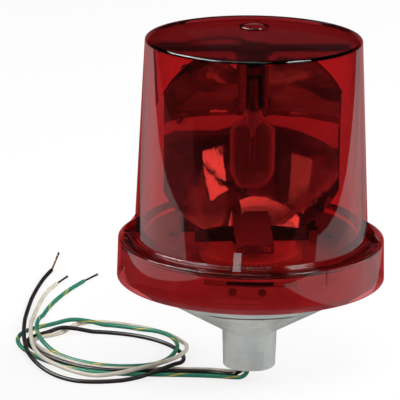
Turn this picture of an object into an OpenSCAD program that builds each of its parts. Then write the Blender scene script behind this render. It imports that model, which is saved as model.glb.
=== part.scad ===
// Rotating beacon light: a red moulded dome on a cast pipe-mount base, with a turning reflector inside
// and three loose leads.
// Origin: centre of the hub's lower end face. +Z up, and the photographed side faces -Y.

/* [Dome] */
// Outer diameter of the dome's skirt at its top edge
skirt_d = 210; // [196:1:230]
// Height of the dome's skirt
skirt_h = 32; // [30:0.5:40]
// How much wider the skirt is at its lower edge, on the radius
skirt_flare = 0.6; // [0.2:0.1:1]
// Wall of the dome
dome_wall = 3; // [2.4:0.1:3.6]
// Thickness of the flange that sits on the gasket
flange_t = 3.6; // [3:0.1:4.5]
// Width of the flat land round the foot of the dome
land_w = 10.5; // [9.5:0.5:14]
// Height of the small step where the wall leaves the land
step_h = 1.8; // [1:0.1:3]
// Width of that step
step_w = 1.8; // [1:0.1:3]
// Draft of the dome's wall, in degrees
draft = 2.9; // [1:0.1:3.5]
// Rise of the crown above the dome's upper edge
crown_h = 8; // [6.5:0.5:14]
// Rounding of the dome's upper edge
edge_round = 2.5; // [1.5:0.1:2.8]
// Rounding of the flange's outer edge
flange_round = 1.2; // [0.6:0.1:2.4]
// Diameter of the button at the middle of the crown
button_d = 22; // [12:1:40]
// Height of that button
button_h = 1; // [0.5:0.1:2]
// Height of the grip ribs at the dome's foot
grip_h = 13; // [6:0.5:24]
// Reach of the grip ribs over the land
grip_out = 8.5; // [5:0.5:9]
// Thickness of the grip ribs
grip_t = 6; // [3:0.5:10]
// Height of the index rib on the skirt
index_h = 13; // [6:0.5:20]

/* [Base] */
// Diameter of the hub at its end face
hub_d = 42.6; // [40:0.2:48]
// How much the hub's radius grows up to the cone
hub_flare = 0.6; // [0.2:0.1:3]
// Height of the hub up to the cone
hub_h = 31; // [28:0.5:40]
// Width across the wrench flats
flats = 35; // [33:0.5:38]
// Height of the wrench flats
flats_h = 17; // [10:0.5:24]
// Diameter of the pipe bore
bore_d = 24.4; // [22:0.1:26]
// Chamfer at the mouth of the bore
mouth = 1.5; // [0.5:0.1:2]
// Wall of the casting
cast_t = 4; // [3:0.1:5]
// Rise of the cone from the hub to the skirt
cone_rise = 45.7; // [40:0.5:60]
// Height of the base's rim wall above the cone, up to the plate's ledge
ledge_rise = 3.3; // [3:0.1:6]
// Thickness of the sealing gasket
gasket_t = 2; // [1:0.1:3]
// Width of the slot in the rim wall
slot_w = 70; // [40:1:80]
// Height of the slot in the rim wall
slot_h = 4.5; // [2:0.1:5]
// Length of the blank rating plate along the cone
plate_len = 32; // [20:1:38]

/* [Rotor] */
// Turn of the rotor in the photographed position, in degrees
rotor_turn = 5; // [0:0.5:10]
// Radial gap between the reflector and the dome
dish_gap = 5.5; // [4:0.5:12]
// Depth of the reflector's lower edge below its centre
dish_cut = 71; // [66:0.5:74]
// Height of the reflector's upper edge above its centre
dish_top = 67; // [60:0.5:70]
// Half width between the reflector's flat sides
dish_flat = 70; // [64:0.5:74]
// Thickness of the reflector, along its axis
dish_t = 1.4; // [1:0.1:2]
// Radius of the circle of reflector rivets
rivet_ring = 73; // [70:0.5:75]
// Module of the gear teeth
tooth_m = 1.25; // [1.1:0.05:1.3]
// Teeth on the turntable
turntable_teeth = 64; // [60:1:64]
// Teeth on the drive pinion
pinion_teeth = 16; // [15:1:18]
// Face width of the gears
gear_w = 6; // [4:0.5:8]
// Height of the turntable's drum above the gear
drum_h = 10; // [9:0.5:14]
// Height of the crossbar below the reflector
bar_h = 6; // [5:0.5:9]
// Length of the lower crossbar
bar_len = 90; // [80:1:98]
// Length of the upper crossbar
top_bar_len = 150; // [130:1:151]
// Thickness of the upper crossbar
top_bar_t = 3.6; // [2:0.1:4]
// Height of the upper crossbar over the reflector's upper edge
top_bar_lift = 7.9; // [6.5:0.1:10]
// Diameter of the turntable's spindle
spindle_d = 12; // [9:0.5:13]

/* [Lamp] */
// Diameter of the lamp's glass
glass_d = 36; // [30:0.5:38]
// Length of the lamp's glass
glass_len = 64; // [56:1:70]
// Diameter of the lamp's bayonet cap
cap_d = 15.2; // [13:0.1:16]
// Length of the lamp's cap
cap_len = 26; // [20:0.5:28]
// Outer diameter of the lamp socket
socket_d = 24; // [22:0.5:26]
// Length of the lamp socket
socket_len = 46.5; // [44:0.5:50]

/* [Drive] */
// Thickness of the chassis plate
chassis_t = 2; // [1.5:0.1:3]
// Diameter of the gearmotor
motor_d = 40; // [34:0.5:41]
// Height of the gearmotor
motor_h = 18; // [14:0.5:19]
// Diameter of the gearmotor's shaft
shaft_d = 5; // [4:0.1:6]
// Direction of the gearmotor from the spindle, in degrees
motor_az = 130; // [110:1:160]

/* [Leads] */
// Diameter of each lead over its insulation
lead_d = 3.5; // [2.8:0.1:3.6]
// Length of the bare conductor at each lead's end
bare_len = 26; // [15:1:30]
// Diameter of the bare conductor
bare_d = 1.8; // [1.2:0.1:2]
// Diameter of the leads inside the rotor
inner_lead_d = 2; // [1.6:0.1:2.4]

/* [Hidden] */
$fn = 96;

// Clearances
seat = 0.1;
run_gap = 0.05;
skirt_gap = 1.5;
lug_gap = 0.5;
head_gap = 7.5;
rim_inset = 0.5;

// Levels of the base, from the hub's end face upwards
hub_end_r = hub_d / 2;
hub_top_r = hub_end_r + hub_flare;
bore_r = bore_d / 2;
cone_top_z = hub_h + cone_rise;
skirt_z = cone_top_z - 1.7;
land_z = skirt_z + skirt_h;
flange_under_z = land_z - flange_t;
gasket_top_z = flange_under_z - seat;
rim_top_z = gasket_top_z - gasket_t;
ledge_z = cone_top_z + ledge_rise;
plate_top_z = ledge_z + chassis_t;

// Radii of the dome's foot and of the base's rim inside its skirt
skirt_r = skirt_d / 2;
skirt_inner_r = skirt_r - dome_wall;
rim_r = skirt_inner_r - skirt_gap;
rim_inner_r = rim_r - cast_t;
ledge_r = rim_inner_r - 8.5;
step_r = skirt_r - land_w;
root_r = step_r - step_w;
cone_slope = cone_rise / (rim_r - hub_top_r);
cone_t = cast_t * sqrt(1 + cone_slope * cone_slope);
seal_r = bore_r - run_gap;
seal_z = bore_seal_z(seal_r) - 6;

// Inner wall of the cone at a radius
function bore_seal_z(r) = hub_h + (r - hub_top_r) * cone_slope + cone_t;

// Bayonet lugs that hold the dome on the base
lug_arc = 20;
lug_h = 3.5;
lug_lap = 1.1;
dome_lug_z = skirt_z + 4;
base_lug_z = dome_lug_z + lug_h + lug_gap;
grip_az = -96;
index_az = -56;

// Levels of the rotor
flange_h = 3.9;
gear_z = plate_top_z + flange_h + seat + 2;
drum_top_z = gear_z + gear_w + drum_h;
drum_plate_t = 3;
shelf_t = 3;
bar_top_z = drum_top_z + bar_h;
dish_z = bar_top_z + dish_cut;
dish_r = root_r - (dish_z - land_z) * tan(draft) - dome_wall - dish_gap;
focus = dish_r / 2;
top_bar_z = dish_z + dish_top + top_bar_lift;
top_bar_top = top_bar_z + top_bar_t;
edge_z = top_bar_top + head_gap;
dome_top_r = root_r - (edge_z - land_z) * tan(draft);
crown_z = edge_z + crown_h;
bar_half_w = 13;
frame_t = 2;
frame_w = 8;
post_xy = rivet_ring * sin(45);
frame_x = post_xy;
frame_y = focus - bowl_depth(frame_x - frame_w / 2) + dish_t + 1.4;
arm_y = focus + dish_t + 1.4;
arm_half = 10;
arm_t = 1.5;
foot_half_w = 14.5;
foot_t = 1.5;

// Gears and drive
turntable_r = turntable_teeth * tooth_m / 2;
pinion_r = pinion_teeth * tooth_m / 2;
gear_centres = turntable_r + pinion_r;
drum_r = turntable_r - 1;
drum_wall = 3;
drum_inner_r = drum_r - drum_wall;
spindle_r = spindle_d / 2;
bush_wall = 2;
boss_r = spindle_r + bush_wall + 3.5;
motor_r = motor_d / 2;
shaft_offset = 10;
motor_at = gear_centres - shaft_offset;
motor_top_z = ledge_z;
ear_at = motor_r + 4.5;
boss_drop = 2;
stud_r = 4;
stud_len = 6;
nut_r = 7.5;
nut_h = 4.6;
spindle_flange = 7;
groove = 1;
clip_t = 1;
clip_w = 3;
clip_mouth = 7;
clip_z = drum_top_z + 0.2;
clip_top_z = clip_z + clip_t;
spindle_top_z = clip_top_z + 2.4;

// Screws
screw_r = 2;
head_r = 3.8;
head_h = 2.4;
recess = 2.6;
chassis_screw_len = 7.5;
motor_screw_len = 6;
ground_xy = [40, -62];

// Lamp and socket
socket_r = socket_d / 2;
socket_z = top_bar_z - socket_len;
cap_r = cap_d / 2;
glass_r = glass_d / 2;
glass_top_z = socket_z - 2;
glass_z = glass_top_z - glass_len;
cap_top_z = glass_top_z + seat + cap_len;
filament_z = glass_z + glass_r;

// Slip rings, as inner and outer radius pairs, and the brushes under them
ring_start = 9;
ring_w = 3.5;
ring_pitch = 7;
ring_radii = [for (i = [0, 1]) let (r = spindle_r + ring_start + i * ring_pitch) [r, r + ring_w]];
ring_t = 1.5;
ring_z = drum_top_z - drum_plate_t - ring_t;
brush_w = 3;
brush_l = 4;
brush_z = plate_top_z + 3;
brush_top_z = ring_z - 0.15;
holder_h = 13;

// Depth of the reflector's parabola at a radius, and its curve set back by a thickness
function bowl_depth(r) = r * r / (4 * focus);
bowl_steps = 14;
function bowl_curve(t) = [for (i = [1 : bowl_steps])
    let (r = dish_r * i / bowl_steps, a = atan(r / (2 * focus)))
        [r + t * sin(a), bowl_depth(r) - t * cos(a)]];

// Rounded corner from one direction to another
function corner(x, y, r, from, to, n = 6) = [for (i = [0 : n])
    let (a = from + (to - from) * i / n) [x + r * cos(a), y + r * sin(a)]];

// Arc of a crown that rises h over radius r, from its edge to the axis
function crown_r(r, h) = (r * r + h * h) / (2 * h);
function crown_arc(r, z, h, n = 14) = [for (i = [0 : n])
    let (big = crown_r(r, h), a = asin(r / big) * (1 - i / n)) [big * sin(a), z + h - big * (1 - cos(a))]];

// Smooth route through hand-chosen points, and the tube swept along it
function curve_at(a, b, c, d, t) = 0.5 * (2 * b + (c - a) * t + (2 * a - 5 * b + 4 * c - d) * t * t
    + (3 * b - a - 3 * c + d) * t * t * t);
function route_point(p, i) = p[max(0, min(len(p) - 1, i))];
function smooth_route(p, n) = [for (i = [0 : len(p) - 2]) for (k = [0 : n - 1])
    curve_at(route_point(p, i - 1), p[i], p[i + 1], route_point(p, i + 2), k / n), p[len(p) - 1]];
function unit(v) = v / norm(v);
function tangent(p, i) = unit(route_point(p, i + 1) - route_point(p, i - 1));
// Sideways direction that is carried along the route without twist
function side_from(prev, t) = unit(prev - (prev * t) * t);
function sides(p, i, prev) = i == len(p) ? []
    : let (s = side_from(prev, tangent(p, i))) concat([s], sides(p, i + 1, s));
function ring_points(p, r, n) = let (s = sides(p, 0, [0.1, 1, 0.2])) [for (i = [0 : len(p) - 1])
    let (t = tangent(p, i), u = s[i], v = cross(t, u)) for (k = [0 : n - 1]) let (a = 360 * k / n)
    p[i] + r * cos(a) * u + r * sin(a) * v];
function ring_faces(m, n) = [
    for (i = [0 : m - 2]) for (k = [0 : n - 1])
        let (j = (k + 1) % n) [i * n + k, (i + 1) * n + k, i * n + j],
    for (i = [0 : m - 2]) for (k = [0 : n - 1])
        let (j = (k + 1) % n) [i * n + j, (i + 1) * n + k, (i + 1) * n + j],
    for (k = [1 : n - 2]) [0, k, k + 1],
    for (k = [1 : n - 2]) [(m - 1) * n, (m - 1) * n + k + 1, (m - 1) * n + k]
];
module tube(p, r, n = 8) {
    polyhedron(points = ring_points(p, r, n), faces = ring_faces(len(p), n), convexity = 10);
}

// Least distance from one stretch of a route to another that is at least skip points further along
function self_gap(p, d, skip) = min([for (i = [0 : len(p) - 1 - skip])
    for (j = [i + skip : len(p) - 1]) norm(p[i] - p[j])]) - d;

// Routes of the three leads: down out of the bore, left, one and a half loops, and their ends to the rear
lead_level = -10;
green_route = [
    [-1, -5.5, seal_z], [-1, -5.5, 14], [-1, -5.5, 5], [-1, -5.5, -1.5], [-1.6, -5.2, -4.8],
    [-3.5, -4.8, -7.5], [-6.3, -4.0, -9.4], [-9.6, -3.5, -10], [-15, -3.0, -10], [-28, -1, -10],
    [-48, 0, -10], [-70, 0, -10], [-92, 0, -10], [-114, 2, -10], [-136, 9, -10], [-156, 22, -10],
    [-174, 41, -10], [-187, 63, -10], [-192, 84, -10], [-189, 102, -10], [-179, 115, -10],
    [-165, 122.5, -8.6], [-151, 126, -6], [-137, 127, -7], [-122, 126, -10], [-106, 122, -10],
    [-91, 114.5, -9.6], [-77, 103, -7.4], [-66.5, 88, -6], [-60, 71, -6], [-59.5, 54, -6.4],
    [-65, 38, -8.6], [-76, 26.5, -10], [-91, 20.5, -10], [-108, 19.5, -10], [-126, 24, -10],
    [-143, 34, -10], [-158, 49, -9.4], [-169, 67, -6.8], [-175, 86, -6], [-178, 106, -6],
    [-178, 128, -6.6], [-175.5, 152, -10], [-171.5, 177, -10], [-165, 203, -10], [-156.5, 228, -10],
    [-147, 250, -10]
];
black_route = [
    [-6, 1.5, seal_z], [-6, 1.5, 14], [-6, 1.5, 5], [-6, 1.5, -1.5], [-6.6, 1.8, -4.8],
    [-8.5, 2.5, -7.5], [-11.3, 3.5, -9.4], [-14.6, 4.2, -10], [-20, 4.9, -10], [-32, 9, -10],
    [-50, 10, -10], [-70, 10, -10], [-92, 9, -10], [-112, 9, -10], [-132, 15, -10], [-150, 27, -10],
    [-167, 45, -10], [-180, 66, -10], [-183.5, 80, -10], [-179, 92, -10], [-169, 99.5, -8.8],
    [-157, 104, -6], [-145, 106.5, -7.4], [-130, 107, -10], [-113, 104.5, -10], [-96, 99, -10],
    [-80, 89.5, -10], [-67, 76.5, -10], [-58, 61, -10], [-53.5, 45, -10], [-54.5, 29, -8.8],
    [-60.5, 14, -6], [-71, 1, -6], [-85, -9, -8.4], [-101, -15.5, -10], [-118, -19.5, -10],
    [-136, -18.5, -10], [-152, -9.5, -9.4], [-165, 4, -7.6], [-174.5, 22, -6], [-181, 44, -6],
    [-185, 68, -6], [-187.5, 92, -6], [-189, 116, -6], [-190, 140, -8.6], [-190, 168, -10],
    [-189, 198, -10], [-186.5, 228, -10], [-183, 256, -10], [-178, 282, -10]
];
white_route = [
    [-2, 7, seal_z], [-2, 7, 14], [-2, 7, 5], [-2, 7, -1.5], [-2.6, 7.4, -4.8], [-4.5, 8.2, -7.5],
    [-7.3, 9.4, -9.4], [-10.6, 10.2, -10], [-16, 11, -10], [-30, 14, -10], [-50, 14.5, -10],
    [-70, 14.2, -10], [-92, 13.5, -10], [-111, 13.5, -10], [-130, 19.5, -10], [-147, 31.5, -10],
    [-163, 49, -10], [-175, 68, -10], [-178.5, 80, -10], [-174, 90, -10], [-164, 97, -10],
    [-156, 105, -10], [-151, 116, -10], [-145, 127, -10], [-134, 133.5, -10], [-119, 132.5, -10],
    [-101, 126, -10], [-82, 115.5, -10], [-66, 101, -10], [-55.5, 83, -9.6], [-51.5, 65, -7.2],
    [-52.5, 47, -6], [-60, 31, -6], [-72, 16.5, -6], [-87, 4, -6], [-104, -6.5, -7],
    [-122, -10, -8], [-139, -5, -6.8], [-154, 8, -6], [-166, 25, -6], [-174.5, 45, -6],
    [-179, 68, -6], [-182, 93, -6], [-183.5, 119, -6.4], [-183.5, 146, -10], [-182, 174, -10],
    [-179.5, 200, -10], [-176, 222, -10], [-170.5, 241, -10]
];
lead_steps = 2;
function laid(route) = [for (q = smooth_route(route, lead_steps)) [q[0], q[1], max(q[2], lead_level)]];
green_path = laid(green_route);
black_path = laid(black_route);
white_path = laid(white_route);
loop_skip = 12;
echo(least_gap_green = self_gap(green_path, lead_d, loop_skip));
echo(least_gap_black = self_gap(black_path, lead_d, loop_skip));
echo(least_gap_white = self_gap(white_path, lead_d, loop_skip));

// Route of the lead that climbs the rotor's frame and arches over to the lamp socket
rotor_lead_route = [
    [-44, 25, drum_top_z + shelf_t], [-49, 25, drum_top_z + 12], [-62, 22, drum_top_z + 30],
    [-70, 15, dish_z - 20], [-74, 10, dish_z + 10], [-76, 7, dish_z + 40], [-77, 3, top_bar_z - 14],
    [-78, 1, top_bar_z - 3], [-77.4, 0.5, top_bar_top], [-73, 0.5, top_bar_top + 2],
    [-65, 1, top_bar_top + 2], [-53, 2, top_bar_top + 2], [-38, 3, top_bar_top + 5],
    [-22, 2, top_bar_top + 6], [-9, 1, top_bar_top + 4.5], [-1, 0, top_bar_top - 1],
    [0, 0, top_bar_z - 8], [0, 0, cap_top_z + 10]
];

// Routes of the three leads inside the casting, from the seal to the terminal block
block_x = [-10, 0, 10];
hole_x = [-4, 0, 4];
seal_xy = [[-6, 1.5], [-2, 7], [-1, -5.5]];
lead_hole_y = -50;
block_back_y = -64;
function inner_route(i) = [
    [seal_xy[i][0], seal_xy[i][1], seal_z + 6], [seal_xy[i][0], seal_xy[i][1], seal_z + 12],
    [seal_xy[i][0] * 0.7, seal_xy[i][1] - 8, seal_z + 20], [hole_x[i], lead_hole_y + 22, ledge_z - 16],
    [hole_x[i], lead_hole_y + 4, ledge_z - 7], [hole_x[i], lead_hole_y, ledge_z],
    [hole_x[i], lead_hole_y - 1, plate_top_z + 2],
    [(hole_x[i] + block_x[i]) / 2, lead_hole_y - 6, plate_top_z + 5],
    [block_x[i], block_back_y + 3, plate_top_z + 5.5], [block_x[i], block_back_y, plate_top_z + 5.5]
];

// Gear outline of straight-sided teeth with a flat tip
backlash = 0.2;
function tooth_half(r, pitch_r, m) = PI * m / 4 - backlash - (r - pitch_r) * tan(20);
function tooth_points(teeth, m) = let (pitch = teeth * m / 2, root = pitch - 1.2 * m, tip = pitch + 0.9 * m)
    [for (i = [0 : teeth - 1]) let (a = 360 * i / teeth)
        for (s = [[root, -1], [tip, -1], [tip, 1], [root, 1]])
            let (w = s[1] * tooth_half(s[0], pitch, m) / s[0] * 180 / PI)
                [s[0] * cos(a + w), s[0] * sin(a + w)]];

module screw(r_head, h_head, r_shank, l_shank) {
    rotate_extrude() polygon(concat(
        [[0, -l_shank], [r_shank, -l_shank], [r_shank, 0], [r_head, 0]],
        corner(r_head - h_head * 0.4, h_head * 0.6, h_head * 0.4, 0, 90, 4), [[0, h_head]]));
}

module base_profile() {
    edge = 1.6;
    polygon(concat(
        [[bore_r + mouth, 0]], corner(hub_end_r - edge, edge, edge, -90, 0),
        [[hub_top_r, hub_h], [rim_r, cone_top_z], [rim_r, rim_top_z], [rim_inner_r, rim_top_z],
         [rim_inner_r, ledge_z], [ledge_r, ledge_z], [ledge_r, bore_seal_z(ledge_r)],
         [bore_r, bore_seal_z(bore_r)], [bore_r, mouth]]));
}

module ring_segment(r0, r1, z, h, az, arc) {
    rotate([0, 0, az - arc / 2]) rotate_extrude(angle = arc) translate([r0, z]) square([r1 - r0, h]);
}

rim_screw_x = [-13, 9];
rim_screw_z = rim_top_z - 9.8;
rim_screw_r = 1.7;
rim_screw_head_r = 2.6;
rim_screw_len = 7.5;
slot_lip = 1.3;
spot_y = -(rim_r - 2);
module rim_screw_places() {
    for (x = rim_screw_x) translate([x, spot_y, rim_screw_z]) rotate([90, 0, 0]) children();
}
chassis_screw_r = ledge_r + 4;
module chassis_screw_places() {
    for (a = [45 : 90 : 315]) rotate([0, 0, a]) translate([chassis_screw_r, 0, plate_top_z]) children();
}
module motor_frame() {
    rotate([0, 0, motor_az]) children();
}
module rotor_frame() {
    rotate([0, 0, rotor_turn]) children();
}

module base_casting() {
    color("#9b9c96") difference() {
        union() {
            rotate_extrude() base_profile();
            for (a = [0 : 90 : 270])
                ring_segment(rim_r - 1, rim_r + lug_lap, base_lug_z, lug_h, grip_az + a, lug_arc);
        }
        for (s = [0, 1]) mirror([0, s, 0]) translate([-hub_d, flats / 2, -1])
            cube([2 * hub_d, hub_d, flats_h + 1]);
        translate([-slot_w / 2, -rim_r - 3, rim_top_z - slot_lip - slot_h]) cube([slot_w, 24, slot_h]);
        rim_screw_places() {
            cylinder(r = rim_screw_head_r + 0.4, h = 8);
            translate([0, 0, -8]) cylinder(r = rim_screw_r + run_gap, h = 10);
        }
        chassis_screw_places() translate([0, 0, -9]) cylinder(r = screw_r + run_gap, h = 9);
    }
}

module lead_seal() {
    color("#2b2b2b") translate([0, 0, seal_z]) cylinder(r = seal_r, h = 6);
}

// Blank foil plate, a little below the middle of the cone
plate_az = -88;
plate_arc = 56;
plate_below_middle = 3.85;
module rating_plate() {
    plate_start = (hub_top_r + rim_r - plate_len) / 2 - plate_below_middle;
    plate_end = plate_start + plate_len;
    lift = 0.02;
    foil = 0.3;
    start_z = hub_h + (plate_start - hub_top_r) * cone_slope - lift;
    end_z = hub_h + (plate_end - hub_top_r) * cone_slope - lift;
    color("#c6c6c0") rotate([0, 0, plate_az - plate_arc / 2]) rotate_extrude(angle = plate_arc)
        polygon([[plate_start, start_z], [plate_end, end_z],
                 [plate_end, end_z - foil], [plate_start, start_z - foil]]);
}

module dome_gasket() {
    color("#1d1d1d") translate([0, 0, rim_top_z]) difference() {
        cylinder(r = rim_r - 0.4, h = gasket_t);
        translate([0, 0, -1]) cylinder(r = rim_inner_r - 2, h = gasket_t + 2);
    }
}

module chassis_plate() {
    color("#b9bbb8") difference() {
        translate([0, 0, ledge_z]) cylinder(r = rim_inner_r - rim_inset, h = chassis_t);
        translate([0, 0, ledge_z - 1]) cylinder(r = stud_r + run_gap, h = chassis_t + 2);
        motor_frame() {
            translate([gear_centres, 0, ledge_z - 1]) cylinder(r = shaft_d / 2 + 2, h = chassis_t + 2);
            for (s = [-1, 1]) translate([motor_at, s * ear_at, ledge_z - 1])
                cylinder(r = screw_r + run_gap, h = chassis_t + 2);
        }
        translate([0, lead_hole_y, ledge_z - 1]) cylinder(r = 8, h = chassis_t + 2);
        chassis_screw_places() translate([0, 0, -chassis_t - 1])
            cylinder(r = screw_r + run_gap, h = chassis_t + 2);
        translate([ground_xy[0], ground_xy[1], ledge_z - 1])
            cylinder(r = screw_r + run_gap, h = chassis_t + 2);
    }
}

module chassis_screws() {
    color("#c9cbc8") chassis_screw_places() screw(head_r, head_h, screw_r, chassis_screw_len);
}

module gearmotor() {
    color("#85888a") motor_frame() difference() {
        union() {
            translate([motor_at, 0, motor_top_z - motor_h]) cylinder(r = motor_r, h = motor_h);
            for (s = [-1, 1]) translate([motor_at, s * ear_at, motor_top_z - 2]) cylinder(r = 4, h = 2);
            translate([motor_at - 4, -ear_at, motor_top_z - 2]) cube([8, 2 * ear_at, 2]);
        }
        translate([gear_centres, 0, motor_top_z - 12]) cylinder(r = shaft_d / 2 + run_gap, h = 13);
        for (s = [-1, 1]) translate([motor_at, s * ear_at, motor_top_z - 3])
            cylinder(r = screw_r + run_gap, h = 4);
    }
}

module motor_screws() {
    color("#c9cbc8") motor_frame() for (s = [-1, 1]) translate([motor_at, s * ear_at, plate_top_z])
        screw(head_r, head_h, screw_r, motor_screw_len);
}

module spindle() {
    flange_r = spindle_r + spindle_flange;
    neck_r = spindle_r - groove;
    color("#aeb0b2") rotate_extrude() polygon([
        [0, ledge_z - stud_len], [stud_r, ledge_z - stud_len], [stud_r, plate_top_z], [flange_r, plate_top_z],
        [flange_r, plate_top_z + flange_h], [spindle_r, plate_top_z + flange_h], [spindle_r, clip_z - seat],
        [neck_r, clip_z - seat], [neck_r, clip_top_z + seat], [spindle_r, clip_top_z + seat],
        [spindle_r, spindle_top_z - groove], [neck_r, spindle_top_z], [0, spindle_top_z]]);
}

module spindle_nut() {
    color("#c9cbc8") translate([0, 0, ledge_z - nut_h]) difference() {
        cylinder(r = nut_r, h = nut_h, $fn = 6);
        translate([0, 0, -1]) cylinder(r = stud_r + run_gap, h = nut_h + 2);
    }
}

module retaining_clip() {
    color("#55585a") translate([0, 0, clip_z]) difference() {
        cylinder(r = spindle_r + clip_w, h = clip_t);
        translate([0, 0, -1]) cylinder(r = spindle_r - groove + run_gap, h = clip_t + 2);
        translate([0, -clip_mouth / 2, -1]) cube([2 * spindle_r, clip_mouth, clip_t + 2]);
    }
}

holder_x = ring_radii[0][0] - 0.5;
holder_len = ring_radii[1][1] + 1 - holder_x;
module brush_holder() {
    color("#3a2a20") difference() {
        translate([holder_x, -6, plate_top_z]) cube([holder_len, 12, holder_h]);
        for (r = ring_radii) translate([(r[0] + r[1] - brush_w) / 2 - seat, -brush_l / 2 - seat, brush_z])
            cube([brush_w + 2 * seat, brush_l + 2 * seat, holder_h]);
    }
}

module brushes() {
    color("#2c2c2e") for (r = ring_radii) translate([(r[0] + r[1] - brush_w) / 2, -brush_l / 2, brush_z])
        cube([brush_w, brush_l, brush_top_z - brush_z]);
}

block_h = 10;
module terminal_block() {
    color("#1f1f1f") difference() {
        translate([-18, block_back_y - 14, plate_top_z]) cube([36, 14, block_h]);
        for (x = block_x) translate([x, block_back_y - 7, plate_top_z + block_h - 5])
            cylinder(r = terminal_screw_r + run_gap, h = 6);
        for (x = [-5, 5]) translate([x - 0.6, block_back_y - 15, plate_top_z + block_h - 2])
            cube([1.2, 16, 3]);
    }
}

terminal_screw_r = 1.6;
module terminal_screws() {
    color("#c8b26a") for (x = block_x) translate([x, block_back_y - 7, plate_top_z + block_h])
        screw(3.2, 1.8, terminal_screw_r, 4.5);
}

bracket_y = -rim_inner_r + 3.4;
bracket_t = 1.5;
module terminal_bracket() {
    color("#b9bbb8") difference() {
        translate([-17, 0, 0]) rotate([90, 0, 90]) linear_extrude(34) polygon([
            [bracket_y - bracket_t, plate_top_z], [block_back_y - 15, plate_top_z],
            [block_back_y - 15, plate_top_z + bracket_t], [bracket_y, plate_top_z + bracket_t],
            [bracket_y, rim_screw_z + 4], [bracket_y - bracket_t, rim_screw_z + 4]]);
        rim_screw_places() translate([0, 0, -12]) cylinder(r = rim_screw_r + run_gap, h = 12);
    }
}

module rim_screws() {
    color("#c9cbc8") rim_screw_places() screw(rim_screw_head_r, 1.7, rim_screw_r, rim_screw_len);
}

module ground_screw() {
    color("#3f8f5a") translate([ground_xy[0], ground_xy[1], plate_top_z]) {
        cylinder(r = 4.6, h = 3, $fn = 6);
        translate([0, 0, -chassis_t - 5]) cylinder(r = screw_r, h = chassis_t + 5.5);
    }
}

module inner_leads() {
    color("#26211f") tube(smooth_route(inner_route(0), 2), lead_d / 2);
    color("#d5cdbd") tube(smooth_route(inner_route(1), 2), lead_d / 2);
    color("#2a7f68") tube(smooth_route(inner_route(2), 2), lead_d / 2);
}

module lead_black() {
    color("#26211f") tube(black_path, lead_d / 2);
}
module lead_white() {
    color("#d5cdbd") tube(white_path, lead_d / 2);
}
module lead_green() {
    color("#2a7f68") tube(green_path, lead_d / 2);
}

// Bare conductor that goes straight on from the last point of a route, and droops to the surface or rises
flat_droop = asin((lead_d - bare_d) / 2 / bare_len);
black_rise = 20;
module conductor(route, droop) {
    last = route[len(route) - 1];
    way = unit(last - route[len(route) - 2]);
    start = bare_d / 2 * abs(tan(droop)) + 0.03;
    color("#a9826a") translate(last) rotate([0, 90 + droop, atan2(way[1], way[0])]) translate([0, 0, start])
        cylinder(r = bare_d / 2, h = bare_len);
}
module conductor_black() {
    conductor(black_path, -black_rise);
}
module conductor_white() {
    conductor(white_path, flat_droop);
}
module conductor_green() {
    conductor(green_path, flat_droop);
}

crossbar_screw_x = 30;
module turntable() {
    color("#d9d4c4") difference() {
        union() {
            rotate([0, 0, motor_az]) translate([0, 0, gear_z]) linear_extrude(gear_w)
                polygon(tooth_points(turntable_teeth, tooth_m));
            translate([0, 0, gear_z]) cylinder(r = drum_r - 2, h = gear_w + drum_h);
            translate([0, 0, gear_z - boss_drop]) cylinder(r = boss_r, h = boss_drop + 2);
        }
        translate([0, 0, gear_z - boss_drop - 1]) difference() {
            cylinder(r = drum_inner_r, h = drum_top_z - drum_plate_t - gear_z + boss_drop + 1);
            translate([0, 0, -1]) cylinder(r = boss_r, h = gear_w + drum_h + boss_drop);
        }
        translate([0, 0, gear_z - boss_drop - 1])
            cylinder(r = spindle_r + bush_wall, h = gear_w + drum_h + boss_drop + 2);
        rotor_frame() for (s = [-1, 1]) translate([s * crossbar_screw_x, 0, drum_top_z - 5])
            cylinder(r = screw_r + run_gap, h = 9);
    }
}

module spindle_bush() {
    color("#b08d4f") translate([0, 0, gear_z - boss_drop]) difference() {
        cylinder(r = spindle_r + bush_wall - 0.02, h = drum_top_z - gear_z + boss_drop);
        translate([0, 0, -1]) cylinder(r = spindle_r + run_gap, h = drum_top_z - gear_z + boss_drop + 2);
    }
}

module slip_rings() {
    color("#c49a4a") translate([0, 0, ring_z]) for (r = ring_radii) difference() {
        cylinder(r = r[1], h = ring_t);
        translate([0, 0, -1]) cylinder(r = r[0], h = ring_t + 2);
    }
}

shelf_half = frame_x + frame_w / 2;
module lower_crossbar() {
    color("#151516") rotor_frame() difference() {
        union() {
            translate([-bar_len / 2, -bar_half_w, drum_top_z]) cube([bar_len, 2 * bar_half_w, bar_h]);
            translate([-shelf_half, bar_half_w - 1, drum_top_z])
                cube([2 * shelf_half, frame_y + frame_t + 2 - bar_half_w, shelf_t]);
            translate([-arm_half - 2, bar_half_w, drum_top_z])
                cube([2 * arm_half + 4, arm_y + arm_t + 1 - bar_half_w, shelf_t]);
        }
        translate([0, 0, drum_top_z - 1]) cylinder(r = spindle_r + 5, h = bar_h + 2);
        for (s = [-1, 1]) translate([s * crossbar_screw_x, 0, drum_top_z - 1]) {
            cylinder(r = screw_r + run_gap, h = bar_h + 2);
            translate([0, 0, bar_h + 1 - recess]) cylinder(r = head_r + 0.2, h = recess + 1);
        }
    }
}

module crossbar_screws() {
    color("#c9cbc8") rotor_frame() for (s = [-1, 1]) translate([s * crossbar_screw_x, 0, bar_top_z - recess])
        screw(head_r - 0.1, head_h - 0.1, screw_r, bar_h + 1.5);
}

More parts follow.
